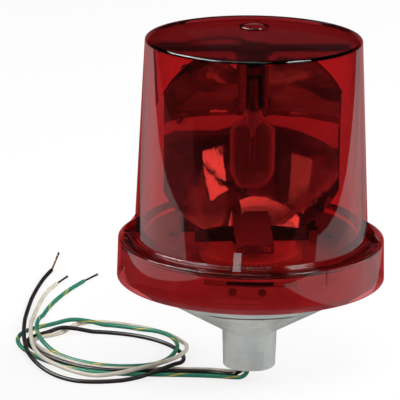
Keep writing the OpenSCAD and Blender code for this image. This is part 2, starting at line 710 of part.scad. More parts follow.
// Sheet bracket that ties the reflector's lower edge down over the front of the crossbar
foot_back_z = bar_top_z + 9.5;
foot_back_y = focus - bowl_depth(dish_cut - 9.5) - foot_half_w * foot_half_w / (4 * focus) - 0.25;
foot_front_y = -drum_r - 2.5;
foot_front_z = bar_top_z + 0.2;
foot_lip = 7.5;
foot_window_x = [-10.5, 9];
module foot_bracket() {
    color("#8f9294") rotor_frame() difference() {
        union() {
            translate([-foot_half_w, 0, 0]) rotate([90, 0, 90]) linear_extrude(2 * foot_half_w) polygon([
                [foot_back_y, foot_back_z], [foot_front_y, foot_front_z],
                [foot_front_y, foot_front_z - foot_lip], [foot_front_y + foot_t, foot_front_z - foot_lip],
                [foot_front_y + foot_t, foot_front_z - foot_t], [foot_back_y, foot_back_z - foot_t]]);
            for (x = [-foot_half_w, foot_half_w - foot_t]) translate([x, 0, 0]) rotate([90, 0, 90])
                linear_extrude(foot_t) polygon([
                    [foot_back_y - 0.2, foot_back_z - 0.2], [-bar_half_w + 2, bar_top_z + 2.2],
                    [-bar_half_w + 2, bar_top_z + 0.05], [foot_back_y - 10, bar_top_z + 0.05]]);
        }
        for (x = foot_window_x) translate([x - 3, foot_front_y - 1, foot_front_z - foot_lip + 1.2])
            cube([6, foot_t + 2, 5]);
    }
}

// Solid inside of the reflector's bowl, set back by a thickness, in the bowl's own frame with its axis up
module bowl(t, over = 0) {
    curve = bowl_curve(t);
    rim_x = curve[bowl_steps - 1][0];
    rotate_extrude() polygon(concat([[0, -t]], curve, [[rim_x, focus + over], [0, focus + over]]));
}
module bowl_frame() {
    translate([0, focus, dish_z]) rotate([90, 0, 0]) children();
}
module bowl_rivet_places() {
    slope = atan(rivet_ring / (2 * focus));
    for (a = [45 : 90 : 315]) rotate([0, 0, a]) translate([rivet_ring, 0, bowl_depth(rivet_ring)])
        rotate([0, -slope, 0]) children();
}
// Round notch in the reflector's upper edge, behind the lamp socket
notch_r = socket_r + 8;
notch = [for (i = [0 : 12]) let (a = -180 + 15 * i) [notch_r * cos(a), dish_top + 2 + notch_r * sin(a)]];
module reflector() {
    wide = 2 * dish_r + 10;
    color("#d0d3d6") rotor_frame() difference() {
        bowl_frame() difference() {
            bowl(dish_t);
            intersection() {
                bowl(0, 2);
                translate([-dish_flat, -wide / 2, -5]) cube([2 * dish_flat, wide, focus + 20]);
            }
            for (s = [0, 1]) mirror([s, 0, 0]) translate([dish_flat + dish_t, -wide / 2, -5])
                cube([wide, wide, focus + 5 - dish_t]);
            bowl_rivet_places() translate([0, 0, -4]) cylinder(r = 1.25, h = 8);
            translate([-wide / 2, -dish_cut - wide, -10]) cube([wide, wide, focus + 20]);
            translate([-wide / 2, dish_top, -10]) cube([wide, wide, focus + 20]);
            translate([0, 0, -10]) linear_extrude(focus + 20) polygon(notch);
        }
    }
}

module reflector_rivets() {
    color("#d8dadc") rotor_frame() bowl_frame() bowl_rivet_places() {
        translate([0, 0, -1]) cylinder(r = 1.2, h = 1.1);
        translate([0, 0, 0.08]) rotate_extrude() polygon([[0, 0], [2.4, 0], [2.1, 0.6], [1.4, 1], [0, 1.2]]);
    }
}

module reflector_posts() {
    color("#7d8082") rotor_frame() difference() {
        for (x = [-post_xy, post_xy]) for (z = [-post_xy, post_xy])
            translate([x, frame_y, dish_z + z]) rotate([90, 0, 0]) cylinder(r = 3, h = frame_y - 4);
        bowl_frame() bowl(dish_t + 0.05, 40);
    }
}

module rear_uprights() {
    foot_z = drum_top_z + shelf_t;
    color("#7d8082") rotor_frame() for (s = [-1, 1]) translate([s * frame_x, frame_y + frame_t, 0]) {
        translate([-frame_w / 2, -frame_t, foot_z]) cube([frame_w, frame_t, dish_z + post_xy - foot_z]);
        translate([0, 0, dish_z + post_xy]) rotate([90, 0, 0]) cylinder(r = frame_w / 2, h = frame_t);
    }
}

// Sheet arm behind the reflector that bends forward over its upper edge and holds the socket in a saddle
arm_top_z = dish_z + dish_top + 2.5;
saddle_h = 14;
saddle_y = socket_d / 2 - 4;
module lamp_arm() {
    color("#7d8082") rotor_frame() difference() {
        union() {
            translate([-arm_half, arm_y, drum_top_z + shelf_t])
                cube([2 * arm_half, arm_t, arm_top_z - drum_top_z - shelf_t]);
            translate([-arm_half, saddle_y, arm_top_z - arm_t])
                cube([2 * arm_half, arm_y - saddle_y + arm_t, arm_t]);
            translate([-arm_half, saddle_y, arm_top_z - saddle_h])
                cube([2 * arm_half, socket_r + arm_t - saddle_y, saddle_h]);
        }
        translate([0, 0, arm_top_z - saddle_h - 1]) cylinder(r = socket_r + 0.02, h = saddle_h + 2);
    }
}

module upper_crossbar() {
    bar_half = 6;
    color("#1d1d1f") rotor_frame() difference() {
        union() {
            translate([-top_bar_len / 2, -bar_half, top_bar_z]) cube([top_bar_len, 2 * bar_half, top_bar_t]);
            translate([0, 0, top_bar_z]) cylinder(r = socket_r + 4, h = top_bar_t);
        }
        translate([0, 0, top_bar_z - 1]) cylinder(r = 3, h = top_bar_t + 2);
        for (s = [-1, 1]) translate([s * (socket_r + 1), 0, top_bar_z - 1])
            cylinder(r = socket_screw_r + run_gap, h = top_bar_t + 2);
    }
}

socket_wall = 1.6;
socket_screw_r = 1.5;
module lamp_socket() {
    color("#8e8f92") rotor_frame() difference() {
        union() {
            translate([0, 0, socket_z]) cylinder(r = socket_r, h = socket_len);
            translate([0, 0, top_bar_z - 2]) cylinder(r = socket_r + 4, h = 2);
        }
        translate([0, 0, socket_z - 1]) cylinder(r = cap_r + 0.15, h = 8);
        translate([0, 0, socket_z + 6]) cylinder(r = socket_r - socket_wall, h = socket_len);
        translate([-6.3, -socket_r - 1, socket_z + 2]) cube([12.6, socket_r - 2, socket_len - 8]);
        for (s = [-1, 1]) translate([s * (socket_r + 1), 0, top_bar_z - 3])
            cylinder(r = socket_screw_r + run_gap, h = 5);
    }
}

module socket_screws() {
    color("#c9cbc8") rotor_frame() for (s = [-1, 1]) translate([s * (socket_r + 1), 0, top_bar_top])
        screw(2.4, 1.3, socket_screw_r, top_bar_t + 1.9);
}

module socket_contact() {
    color("#c49a4a") rotor_frame() translate([0, 0, cap_top_z + seat]) {
        cylinder(r = 3, h = 4);
        translate([0, 0, 4]) cylinder(r = socket_r - socket_wall - run_gap, h = 6 - seat);
    }
}

module lamp_cap() {
    color("#b59a63") rotor_frame() {
        translate([0, 0, glass_top_z + seat]) cylinder(r = cap_r, h = cap_len);
        translate([0, -cap_r - 1.6, cap_top_z - 5]) rotate([-90, 0, 0]) cylinder(r = 1, h = 2 * cap_r + 3.2);
    }
}

glass_neck = 18;
glass_wall = 0.9;
function glass_outline(r) = let (draw = glass_r - cap_r + 0.8, z = glass_top_z - glass_neck) concat(
    [for (i = [0 : 10]) let (a = -90 + 9 * i) [r * cos(a), glass_z + glass_r + r * sin(a)]],
    [[r, z]],
    [for (i = [1 : 8]) let (t = i / 8) [r - draw * t * t * (3 - 2 * t), z + (glass_neck - 2) * t]],
    [[r - draw, glass_top_z]]);
module lamp_glass() {
    color([0.9, 0.92, 0.94, 0.35]) rotor_frame() rotate_extrude() difference() {
        polygon(concat(glass_outline(glass_r), [[0, glass_top_z]]));
        polygon(concat(glass_outline(glass_r - glass_wall), [[0, glass_top_z + 1]]));
    }
}

stem_h = 22;
module lamp_filament() {
    wire_h = glass_top_z - stem_h - filament_z + 0.3;
    color("#9da0a4") rotor_frame() {
        translate([0, 0, glass_top_z - stem_h]) cylinder(r1 = 2.4, r2 = 4, h = stem_h);
        for (s = [-1, 1]) translate([s * 1.8, 0, filament_z]) cylinder(r = 0.45, h = wire_h);
        translate([0, 0, filament_z - 0.4]) cylinder(r = 2.2, h = 1.2);
        translate([0, 0, filament_z]) cylinder(r = 0.9, h = wire_h);
    }
}

module rotor_lead() {
    color("#3a3634") rotor_frame() tube(smooth_route(rotor_lead_route, 2), inner_lead_d / 2);
}

module motor_shaft() {
    color("#c0c2c4") motor_frame() translate([gear_centres, 0, motor_top_z - 11.5])
        cylinder(r = shaft_d / 2, h = gear_z + gear_w + 2 - motor_top_z + 11.5);
}

module drive_pinion() {
    color("#d9d4c4") motor_frame() translate([gear_centres, 0, 0]) difference() {
        union() {
            rotate([0, 0, 180 + 180 / pinion_teeth]) translate([0, 0, gear_z - 0.5])
                linear_extrude(gear_w + 1) polygon(tooth_points(pinion_teeth, tooth_m));
            translate([0, 0, plate_top_z + 2]) cylinder(r = shaft_d / 2 + 2.5, h = gear_z - plate_top_z - 2);
        }
        translate([0, 0, plate_top_z]) cylinder(r = shaft_d / 2 + 0.02, h = 60);
    }
}

// Section of the dome: up the outside, over the crown, and back down the inside
module dome_profile() {
    lean = tan(draft);
    inner_edge_r = dome_top_r - dome_wall;
    inner_edge_z = edge_z - dome_wall;
    polygon(concat(
        [[skirt_inner_r + skirt_flare, skirt_z], [skirt_r + skirt_flare, skirt_z]],
        corner(skirt_r - flange_round, land_z - flange_round, flange_round, 0, 90),
        [[step_r, land_z], [step_r, land_z + step_h], [root_r - step_h * lean, land_z + step_h]],
        corner(dome_top_r - edge_round, edge_z - edge_round, edge_round, 2, 78),
        crown_arc(dome_top_r - edge_round, edge_z, crown_h),
        [[0, crown_z - dome_wall]],
        [for (p = reverse_list(crown_arc(inner_edge_r, inner_edge_z, crown_h))) if (p[0] > 0) p],
        [[root_r - dome_wall, land_z], [root_r - dome_wall, flange_under_z],
         [skirt_inner_r, flange_under_z]]));
}
function reverse_list(v) = [for (i = [len(v) - 1 : -1 : 0]) v[i]];

module grip_rib() {
    back = 1.4;
    translate([0, grip_t / 2, 0]) rotate([90, 0, 0]) linear_extrude(grip_t) polygon([
        [root_r - back, land_z - 1], [root_r + grip_out, land_z - 1], [root_r + grip_out, land_z + 0.6],
        [root_r + 0.4 - grip_h * tan(draft), land_z + grip_h],
        [root_r - back - grip_h * tan(draft), land_z + grip_h]]);
}

module dome() {
    color([0.66, 0.08, 0.1, 0.6]) {
        rotate_extrude() dome_profile();
        translate([0, 0, crown_z - 1]) cylinder(r = button_d / 2, h = button_h + 0.6);
        for (a = [0 : 90 : 270]) rotate([0, 0, grip_az + a]) grip_rib();
        for (a = [0 : 90 : 270])
            ring_segment(rim_r + lug_gap, skirt_inner_r + 0.5, dome_lug_z, lug_h, grip_az + a, lug_arc);
        rotate([0, 0, index_az]) translate([skirt_r - 1, -0.8, land_z - index_h])
            cube([1.7, 1.6, index_h - flange_round]);
    }
}

base_casting();
lead_seal();
rating_plate();
dome_gasket();
chassis_plate();
chassis_screws();
gearmotor();
motor_screws();
spindle();
spindle_nut();
retaining_clip();
brush_holder();
brushes();
terminal_block();
terminal_screws();
terminal_bracket();
rim_screws();
ground_screw();
inner_leads();
lead_black();
lead_white();
lead_green();
conductor_black();
conductor_white();
conductor_green();
turntable();
spindle_bush();
slip_rings();
lower_crossbar();
crossbar_screws();
foot_bracket();
reflector();
reflector_rivets();
reflector_posts();
rear_uprights();
lamp_arm();
upper_crossbar();
lamp_socket();
socket_screws();
socket_contact();
lamp_cap();
lamp_glass();
lamp_filament();
rotor_lead();
motor_shaft();
drive_pinion();
dome();
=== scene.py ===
# Rotating beacon light with a red dome, seen slightly from above on a pale surface.
import math

import bmesh
import bpy
from mathutils import Matrix, Vector


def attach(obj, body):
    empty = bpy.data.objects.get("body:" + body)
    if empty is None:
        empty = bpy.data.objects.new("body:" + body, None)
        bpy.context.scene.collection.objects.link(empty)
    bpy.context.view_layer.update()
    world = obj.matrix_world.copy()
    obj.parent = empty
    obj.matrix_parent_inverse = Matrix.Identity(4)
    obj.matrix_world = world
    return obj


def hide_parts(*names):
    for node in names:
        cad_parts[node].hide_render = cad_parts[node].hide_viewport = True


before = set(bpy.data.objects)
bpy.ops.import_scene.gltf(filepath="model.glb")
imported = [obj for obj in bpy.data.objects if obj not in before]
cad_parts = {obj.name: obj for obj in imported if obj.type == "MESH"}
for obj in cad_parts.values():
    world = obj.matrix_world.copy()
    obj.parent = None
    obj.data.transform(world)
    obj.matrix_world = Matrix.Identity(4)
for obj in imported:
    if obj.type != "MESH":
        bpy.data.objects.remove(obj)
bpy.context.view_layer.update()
mm = 0.001

# camera solved from the rims of the dome; distances in mm, angles in degrees
viewSettings = {"distance": 2165.5, "height": 738.0, "focalPixels": 2858.8, "imageWidth": 400,
                "sensor": 36.0, "pitch": 15.544, "yaw": -1.071, "roll": 0.593}


def placeCamera(s):
    pitch, yaw, roll = (math.radians(s[k]) for k in ("pitch", "yaw", "roll"))
    ahead = Vector((math.sin(yaw) * math.cos(pitch), math.cos(yaw) * math.cos(pitch), -math.sin(pitch)))
    level = Vector((math.cos(yaw), -math.sin(yaw), 0))
    above = level.cross(ahead)
    right = math.cos(roll) * level + math.sin(roll) * above
    above = right.cross(ahead)
    data = bpy.data.cameras.new("camera")
    data.sensor_width = s["sensor"]
    data.lens = s["sensor"] * s["focalPixels"] / s["imageWidth"]
    data.clip_end = 30
    camera = bpy.data.objects.new("camera", data)
    bpy.context.scene.collection.objects.link(camera)
    turn = Matrix((right, above, -ahead)).transposed().to_4x4()
    camera.matrix_world = Matrix.Translation(Vector((0, -s["distance"], s["height"])) * mm) @ turn
    bpy.context.scene.camera = camera


placeCamera(viewSettings)


# materials

def linearColour(hexColour):
    channels = [int(hexColour[i:i + 2], 16) / 255 for i in (1, 3, 5)]
    return tuple(c / 12.92 if c <= 0.04045 else ((c + 0.055) / 1.055) ** 2.4 for c in channels) + (1.0,)


def addNode(tree, kind, sockets=None, **settings):
    node = tree.nodes.new(kind)
    for name, value in settings.items():
        setattr(node, name, value)
    for key, value in (sockets or {}).items():
        if isinstance(value, bpy.types.NodeSocket):
            tree.links.new(value, node.inputs[key])
        else:
            node.inputs[key].default_value = value
    return node


# one value from several, such as their product or the largest of them
def folded(tree, operation, *values):
    total = values[0]
    for value in values[1:]:
        total = addNode(tree, "ShaderNodeMath", {0: total, 1: value}, operation=operation).outputs[0]
    return total


def emptyMaterial(name):
    material = bpy.data.materials.new(name)
    material.use_nodes = True
    material.node_tree.nodes.clear()
    return material, material.node_tree


def patternScale(size):
    return 1 / (size * mm)   # size is the pattern's real spacing in millimetres


# One rigid finish: two tones in broad patches, and a fine grain that drives both roughness and bump.
def makeFinish(name, colour, shade, metallic=0.0, roughness=0.5, spread=0.12, grain=1.2, depth=0.03,
               blotch=18, stretch=(1, 1, 1), coat=0.0):
    material, tree = emptyMaterial(name)
    place = addNode(tree, "ShaderNodeTexCoord")
    drawn = addNode(tree, "ShaderNodeVectorMath", {0: place.outputs["Object"], 1: stretch},
                    operation="MULTIPLY")
    patches = addNode(tree, "ShaderNodeTexNoise",
                      {"Vector": place.outputs["Object"], "Scale": patternScale(blotch), "Detail": 5.0,
                       "Roughness": 0.6})
    fine = addNode(tree, "ShaderNodeTexNoise", {"Vector": drawn.outputs[0], "Scale": patternScale(grain),
                                                "Detail": 4.0, "Roughness": 0.6})
    tone = addNode(tree, "ShaderNodeMapRange", {"Value": patches.outputs["Fac"], "From Min": 0.35,
                                                "From Max": 0.65})
    tint = addNode(tree, "ShaderNodeMix",
                   {0: tone.outputs[0], 6: linearColour(colour), 7: linearColour(shade)}, data_type="RGBA")
    gloss = addNode(tree, "ShaderNodeMapRange",
                    {"Value": fine.outputs["Fac"], "From Min": 0.3, "From Max": 0.7,
                     "To Min": max(0.0, roughness - spread), "To Max": min(1.0, roughness + spread)})
    bump = addNode(tree, "ShaderNodeBump", {"Height": fine.outputs["Fac"], "Distance": depth * mm})
    shader = addNode(tree, "ShaderNodeBsdfPrincipled",
                     {"Base Color": tint.outputs[2], "Metallic": metallic, "Roughness": gloss.outputs[0],
                      "Normal": bump.outputs[0], "Coat Weight": coat, "Coat Roughness": 0.1})
    addNode(tree, "ShaderNodeOutputMaterial", {"Surface": shader.outputs[0]})
    return material


# Clear glass or moulding. Lamps and bounced light pass straight through it and light what is inside.
def makeClear(name, glow, ior, roughness, straight, wave=30, depth=0.0, speck=0.0, dustSize=3.0,
              dye=None, skim=None, deep=None, clear=1.0):
    material, tree = emptyMaterial(name)
    place = addNode(tree, "ShaderNodeTexCoord")
    swell = addNode(tree, "ShaderNodeTexNoise",
                    {"Vector": place.outputs["Object"], "Scale": patternScale(wave), "Detail": 2.0,
                     "Roughness": 0.4})
    bump = addNode(tree, "ShaderNodeBump", {"Height": swell.outputs["Fac"], "Distance": depth * mm})
    dust = addNode(tree, "ShaderNodeTexNoise",
                   {"Vector": place.outputs["Object"], "Scale": patternScale(dustSize), "Detail": 6.0,
                    "Roughness": 0.7})
    film = addNode(tree, "ShaderNodeMapRange",
                   {"Value": dust.outputs["Fac"], "From Min": 0.45, "From Max": 0.75, "To Min": roughness,
                    "To Max": roughness + speck})
    tint, past = linearColour(glow), linearColour(straight)
    # above the crown's edge the colour and the straight-through tint are mixed to darker ones: painted shade
    # on the crown
    if deep:
        at = addNode(tree, "ShaderNodeSeparateXYZ", {0: place.outputs["Object"]})
        high = addNode(tree, "ShaderNodeMapRange", {"Value": at.outputs["Z"], "From Min": deep["from"] * mm,
                                                    "From Max": deep["to"] * mm})
        tint = addNode(tree, "ShaderNodeMix", {0: high.outputs[0], 6: linearColour(glow),
                                               7: linearColour(deep["colour"])}, data_type="RGBA").outputs[2]
        past = addNode(tree, "ShaderNodeMix",
                       {0: high.outputs[0], 6: linearColour(straight), 7: linearColour(deep["straight"])},
                       data_type="RGBA").outputs[2]
    shader = addNode(tree, "ShaderNodeBsdfPrincipled", {"Base Color": tint, "Transmission Weight": clear,
                                                        "Roughness": film.outputs[0], "IOR": ior,
                                                        "Normal": bump.outputs[0]})
    through = addNode(tree, "ShaderNodeBsdfTransparent", {"Color": past})
    path = addNode(tree, "ShaderNodeLightPath")
    either = folded(tree, "MAXIMUM", path.outputs["Is Shadow Ray"], path.outputs["Is Diffuse Ray"])
    # skim: the share seen straight through, on a squarely seen surface, a grazed one, and behind glass
    # on the dome this share, taken at grazing angles, is a painted pink glow on the edges in place of light
    # piped along the wall
    if skim:
        facing = addNode(tree, "ShaderNodeLayerWeight", {"Blend": 0.5})
        share = addNode(tree, "ShaderNodeMapRange",
                        {"Value": facing.outputs["Facing"], "From Min": skim["from"], "From Max": skim["to"],
                         "To Min": skim["square"], "To Max": skim["grazed"]})
        first = folded(tree, "MAXIMUM", path.outputs["Is Camera Ray"], skim["inside"])
        straightOn = folded(tree, "MULTIPLY", share.outputs[0], first)
        either = folded(tree, "MAXIMUM", either, straightOn)
    both = addNode(tree, "ShaderNodeMixShader", {0: either, 1: shader.outputs[0], 2: through.outputs[0]})
    out = addNode(tree, "ShaderNodeOutputMaterial", {"Surface": both.outputs[0]})
    if dye:
        body = addNode(tree, "ShaderNodeVolumeAbsorption", {"Color": linearColour(dye["colour"]),
                                                            "Density": dye["perMillimetre"] / mm})
        tree.links.new(body.outputs[0], out.inputs["Volume"])
    return material


# moulded red acrylic: one wall alone looks rose, two walls against white give the full red. At grazing
# angles the view partly passes straight through, tinted, a painted pink glow on its edges; above the crown's
# edge colour and tint turn darker, painted shade, as the crown is no thicker than the wall.
redAcrylic = makeClear("redAcrylic", "#d25b60", 1.49, 0.0, "#eda9ab", wave=34, depth=0.06, speck=0.02,
                       dye={"colour": "#e62a3e", "perMillimetre": 0.06},
                       skim={"from": 0.5, "to": 0.8, "square": 0.0, "grazed": 0.72, "inside": 0},
                       deep={"colour": "#903e42", "straight": "#cfaeb0", "from": 262.5, "to": 265.5})
# blown soda glass of the lamp: thin, clean, with only its edges showing
lampGlass = makeClear("lampSodaGlass", "#fbfbfa", 1.46, 0.01, "#fbfbfa",
                      skim={"from": 0.35, "to": 0.85, "square": 0.92, "grazed": 0.1, "inside": 1}, clear=0.6)
# frosted glass stem that carries the filament's wires
stemGlass = makeClear("stemGlass", "#e6e8e8", 1.5, 0.15, "#e6e8e8",
                      skim={"from": 0.2, "to": 0.8, "square": 0.6, "grazed": 0.2, "inside": 1}, clear=0.5)
# thin grey enamel sprayed on a sand casting: the grit shows through as a soft pebble
castEnamel = makeFinish("greyEnamelOnCasting", "#bec3c1", "#aaafad", roughness=0.5, grain=1.6, depth=0.09,
                        blotch=26, coat=0.5)
# spun and chemically brightened aluminium: a true mirror that is a little uneven from the spinning
brightAluminium = makeFinish("brightSpunAluminium", "#f0f1f2", "#e6e7e9", metallic=1.0, roughness=0.006,
                             spread=0.004, grain=11, depth=0.06, blotch=30)
# the same sheet outside the polished bowl: left pickled and pale, so it scatters light as matt paint does
pickledRim = makeFinish("pickledAluminiumRim", "#f4f4f4", "#eaebec", metallic=0.15, roughness=0.5, grain=0.8,
                        depth=0.02)
# rolled plate with a pale dull passivation: it lies flat and takes up the red of the dome
dullPlate = makeFinish("passivatedPlate", "#d2d2cc", "#b9bab4", metallic=0.35, roughness=0.42, grain=1.0,
                       depth=0.02, blotch=22)
# bright pressed bracket sheet with a pale film on it: soft highlights on the folds, light on the flats
pressedSheet = makeFinish("pressedBrightSheet", "#e2e3e4", "#cccfd1", metallic=0.7, roughness=0.12,
                          spread=0.05, grain=9, depth=0.16, blotch=12)
# bare pressed aluminium foil of the blank plate: satin, with rolling lines
satinFoil = makeFinish("satinFoil", "#e2e2dd", "#c9c9c3", metallic=0.4, roughness=0.36, grain=0.7,
                       depth=0.03, blotch=9, stretch=(0.25, 1, 1))
# zinc plated sheet steel: pale, cool and slightly cloudy
zincPlate = makeFinish("zincPlatedSteel", "#c3c6c6", "#a4a8aa", metallic=1.0, roughness=0.32, grain=0.9,
                       depth=0.01, blotch=7)
# turned steel of spindle, posts and shaft: fine rings from the tool
turnedSteel = makeFinish("turnedSteel", "#b4b6b8", "#9b9da0", metallic=1.0, roughness=0.28, grain=0.35,
                         depth=0.008, stretch=(0.1, 0.1, 1))
# dull plated motor can
motorCan = makeFinish("dullPlatedCan", "#8d9092", "#75787a", metallic=0.9, roughness=0.42, grain=1.4,
                      depth=0.02)
# oil blackened spring steel
springSteel = makeFinish("oilBlackSpringSteel", "#4a4c4e", "#35373a", metallic=0.9, roughness=0.4, grain=0.8)
# black phenolic moulding: near black with a soft gloss
blackPhenolic = makeFinish("blackPhenolic", "#1c1b1b", "#121212", roughness=0.34, grain=1.1, depth=0.01,
                           coat=0.15)
# brown phenolic of the brush holder
brownPhenolic = makeFinish("brownPhenolic", "#452f21", "#33221a", roughness=0.45, grain=0.6, blotch=3)
# pressed carbon brush: matt and grey black
pressedCarbon = makeFinish("pressedCarbon", "#2b2b2d", "#1f1f21", roughness=0.72, grain=0.5)
# moulded natural nylon of the turntable and the pinion
naturalNylon = makeFinish("naturalNylon", "#ded8c6", "#cfc8b4", roughness=0.45, grain=1.3, depth=0.015)
# lacquered brass of screws, rings and lamp cap
plainBrass = makeFinish("plainBrass", "#c79f52", "#a9823c", metallic=1.0, roughness=0.3, grain=0.8, blotch=5)
# oil filled sintered bronze
sinteredBronze = makeFinish("sinteredBronze", "#ab8748", "#8d6c38", metallic=1.0, roughness=0.45, grain=0.4)
# dull black rubber of the gasket and seal
dullRubber = makeFinish("dullRubber", "#232323", "#191919", roughness=0.75, grain=0.9)
# baked black enamel of the upper crossbar
blackEnamel = makeFinish("blackEnamel", "#202022", "#151516", roughness=0.35, grain=1.5, depth=0.02,
                         coat=0.2)
# green dyed zinc of the ground screw
greenScrew = makeFinish("greenDyedZinc", "#4b9a65", "#357c4e", metallic=0.6, roughness=0.4)
# woven sleeve of the lead on the rotor, dark and dry
darkSleeve = makeFinish("darkSleeve", "#43403d", "#2c2a28", roughness=0.7, grain=0.5, depth=0.04, blotch=1.5)
# thin tungsten and nickel wires inside the lamp
lampWire = makeFinish("nickelWire", "#b9bbbd", "#8c8e90", metallic=1.0, roughness=0.25, grain=0.4)
# soft insulation of the leads: black with a waxy shine, and white gone to cream
blackInsulation = makeFinish("blackInsulation", "#2b2624", "#1d1917", roughness=0.38, grain=0.8, depth=0.02,
                             blotch=14, coat=0.1)
creamInsulation = makeFinish("creamInsulation", "#dbd4c6", "#c9c0b0", roughness=0.5, grain=0.8, depth=0.02,
                             blotch=16)
# bare copper strands, gone brown in the air
agedCopper = makeFinish("agedCopper", "#b27f5f", "#7c5d49", metallic=1.0, roughness=0.35, grain=0.6,
                        blotch=4)


# green insulation with one yellow stripe that winds round it
stripeSettings = {"jacket": "#2c8468", "shade": "#25755d", "ink": "#c2a63c", "pitch": 46, "share": 0.11,
                  "wear": 2.0, "blotch": 14.0, "depth": 0.02, "roughness": 0.42}


def makeStriped(name, s):
    material, tree = emptyMaterial(name)
    place = addNode(tree, "ShaderNodeTexCoord")
    way = addNode(tree, "ShaderNodeSeparateXYZ", {0: place.outputs["UV"]})
    turns = folded(tree, "DIVIDE", way.outputs["X"], s["pitch"] * mm)
    phase = folded(tree, "ADD", way.outputs["Y"], turns)
    lap = addNode(tree, "ShaderNodeMath", {0: phase}, operation="FRACT")
    off = addNode(tree, "ShaderNodeMath", {0: lap.outputs[0], 1: 0.5, 2: s["share"] / 2},
                  operation="COMPARE")
    wear = addNode(tree, "ShaderNodeTexNoise",
                   {"Vector": place.outputs["Object"], "Scale": patternScale(s["wear"]), "Detail": 3.0})
    kept = addNode(tree, "ShaderNodeMapRange",
                   {"Value": wear.outputs["Fac"], "From Min": 0.3, "From Max": 0.45, "To Min": 0.55,
                    "To Max": 1.0})
    ink = folded(tree, "MULTIPLY", off.outputs[0], kept.outputs[0])
    broad = addNode(tree, "ShaderNodeTexNoise",
                    {"Vector": place.outputs["Object"], "Scale": patternScale(s["blotch"])})
    jacket = addNode(tree, "ShaderNodeMix", {0: broad.outputs["Fac"], 6: linearColour(s["jacket"]),
                                             7: linearColour(s["shade"])}, data_type="RGBA")
    tint = addNode(tree, "ShaderNodeMix", {0: ink, 6: jacket.outputs[2], 7: linearColour(s["ink"])},
                   data_type="RGBA")
    bump = addNode(tree, "ShaderNodeBump", {"Height": wear.outputs["Fac"], "Distance": s["depth"] * mm})
    shader = addNode(tree, "ShaderNodeBsdfPrincipled",
                     {"Base Color": tint.outputs[2], "Roughness": s["roughness"], "Normal": bump.outputs[0]})
    addNode(tree, "ShaderNodeOutputMaterial", {"Surface": shader.outputs[0]})
    return material


greenInsulation = makeStriped("greenInsulation", stripeSettings)
print("materials ready:", len(bpy.data.materials))


# mesh tools

def pieceFrom(bm, name, material, body, smooth=32):
    bmesh.ops.recalc_face_normals(bm, faces=bm.faces)
    mesh = bpy.data.meshes.new(name)
    bm.to_mesh(mesh)
    bm.free()
    piece = bpy.data.objects.new(name, mesh)
    bpy.context.scene.collection.objects.link(piece)
    if material:
        mesh.materials.append(material)
    smoothTo(piece, smooth)
    if body:
        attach(piece, body)
    return piece


def smoothTo(piece, angle):
    piece.data.shade_smooth()
    piece.data.set_sharp_from_angle(angle=math.radians(angle))


def settle(piece):
    graph = bpy.context.evaluated_depsgraph_get()
    mesh = bpy.data.meshes.new_from_object(piece.evaluated_get(graph))
    piece.modifiers.clear()
    old = piece.data
    piece.data = mesh
    bpy.data.meshes.remove(old)


def combine(piece, *steps):
    for operation, bm in steps:
        tool = pieceFrom(bm, "cutter", None, None)
        change = piece.modifiers.new("combine", "BOOLEAN")
        change.operation = operation
        change.object = tool
        change.solver = "EXACT"
        settle(piece)
        bpy.data.objects.remove(tool)


def softenEdges(piece, width, angle, segments=2):
    change = piece.modifiers.new("soften", "BEVEL")
    change.width = width * mm
    change.segments = segments
    change.limit_method = "ANGLE"
    change.angle_limit = math.radians(angle)
    settle(piece)
    smoothTo(piece, 50)


# each corner is across, up and the radius that rounds it
def fillet(corners, steps=6):
    points = []
    for i, (x, y, radius) in enumerate(corners):
        here = Vector((x, y))
        if radius <= 0:
            points.append(here)
            continue
        back = Vector(corners[i - 1][:2]) - here
        on = Vector(corners[(i + 1) % len(corners)][:2]) - here
        half = back.angle(on) / 2
        reach = min(radius / math.tan(half), 0.48 * min(back.length, on.length))
        back.normalize()
        on.normalize()
        radius = reach * math.tan(half)
        centre = here + (back + on).normalized() * radius / math.sin(half)
        first, last = here + back * reach - centre, here + on * reach - centre
        points += [centre + first.slerp(last, k / steps) for k in range(steps + 1)]
    return points


def crown(radius, z, rise, steps):
    big = (radius * radius + rise * rise) / (2 * rise)
    start = math.asin(radius / big)
    angles = [start * (1 - k / steps) for k in range(steps + 1)]
    return [(big * math.sin(a), z + rise - big * (1 - math.cos(a)), 0) for a in angles]


def lathe(profile, segments=192, bm=None, start=0.0, sweep=360.0):
    bm = bm or bmesh.new()
    whole = sweep >= 360
    count = segments if whole else segments + 1
    angles = [math.radians(start + sweep * k / segments) for k in range(count)]
    rings = []
    for r, z in profile:
        if r < 1e-6:
            rings.append([bm.verts.new((0, 0, z * mm))])
        else:
            rings.append([bm.verts.new((r * math.cos(a) * mm, r * math.sin(a) * mm, z * mm))
                          for a in angles])
    for a, b in zip(rings, rings[1:] + rings[:1]):
        for k in range(segments):
            n = (k + 1) % count
            corners = [a[k % len(a)], b[k % len(b)], b[n % len(b)], a[n % len(a)]]
            corners = list(dict.fromkeys(corners))
            if len(corners) > 2:
                bm.faces.new(corners)
    if not whole:
        bm.faces.new([ring[0] for ring in rings])
        bm.faces.new([ring[-1] for ring in reversed(rings)])
    return bm


def oblong(inner, outer, low, high):
    return [(inner, low), (outer, low), (outer, high), (inner, high)]


def block(low, high, bm=None):
    bm = bm or bmesh.new()
    centre = (Vector(low) + Vector(high)) / 2 * mm
    span = (Vector(high) - Vector(low)) * mm
    made = bmesh.ops.create_cube(bm, size=1.0)["verts"]
    bmesh.ops.scale(bm, verts=made, vec=span)
    bmesh.ops.translate(bm, verts=made, vec=centre)
    return bm


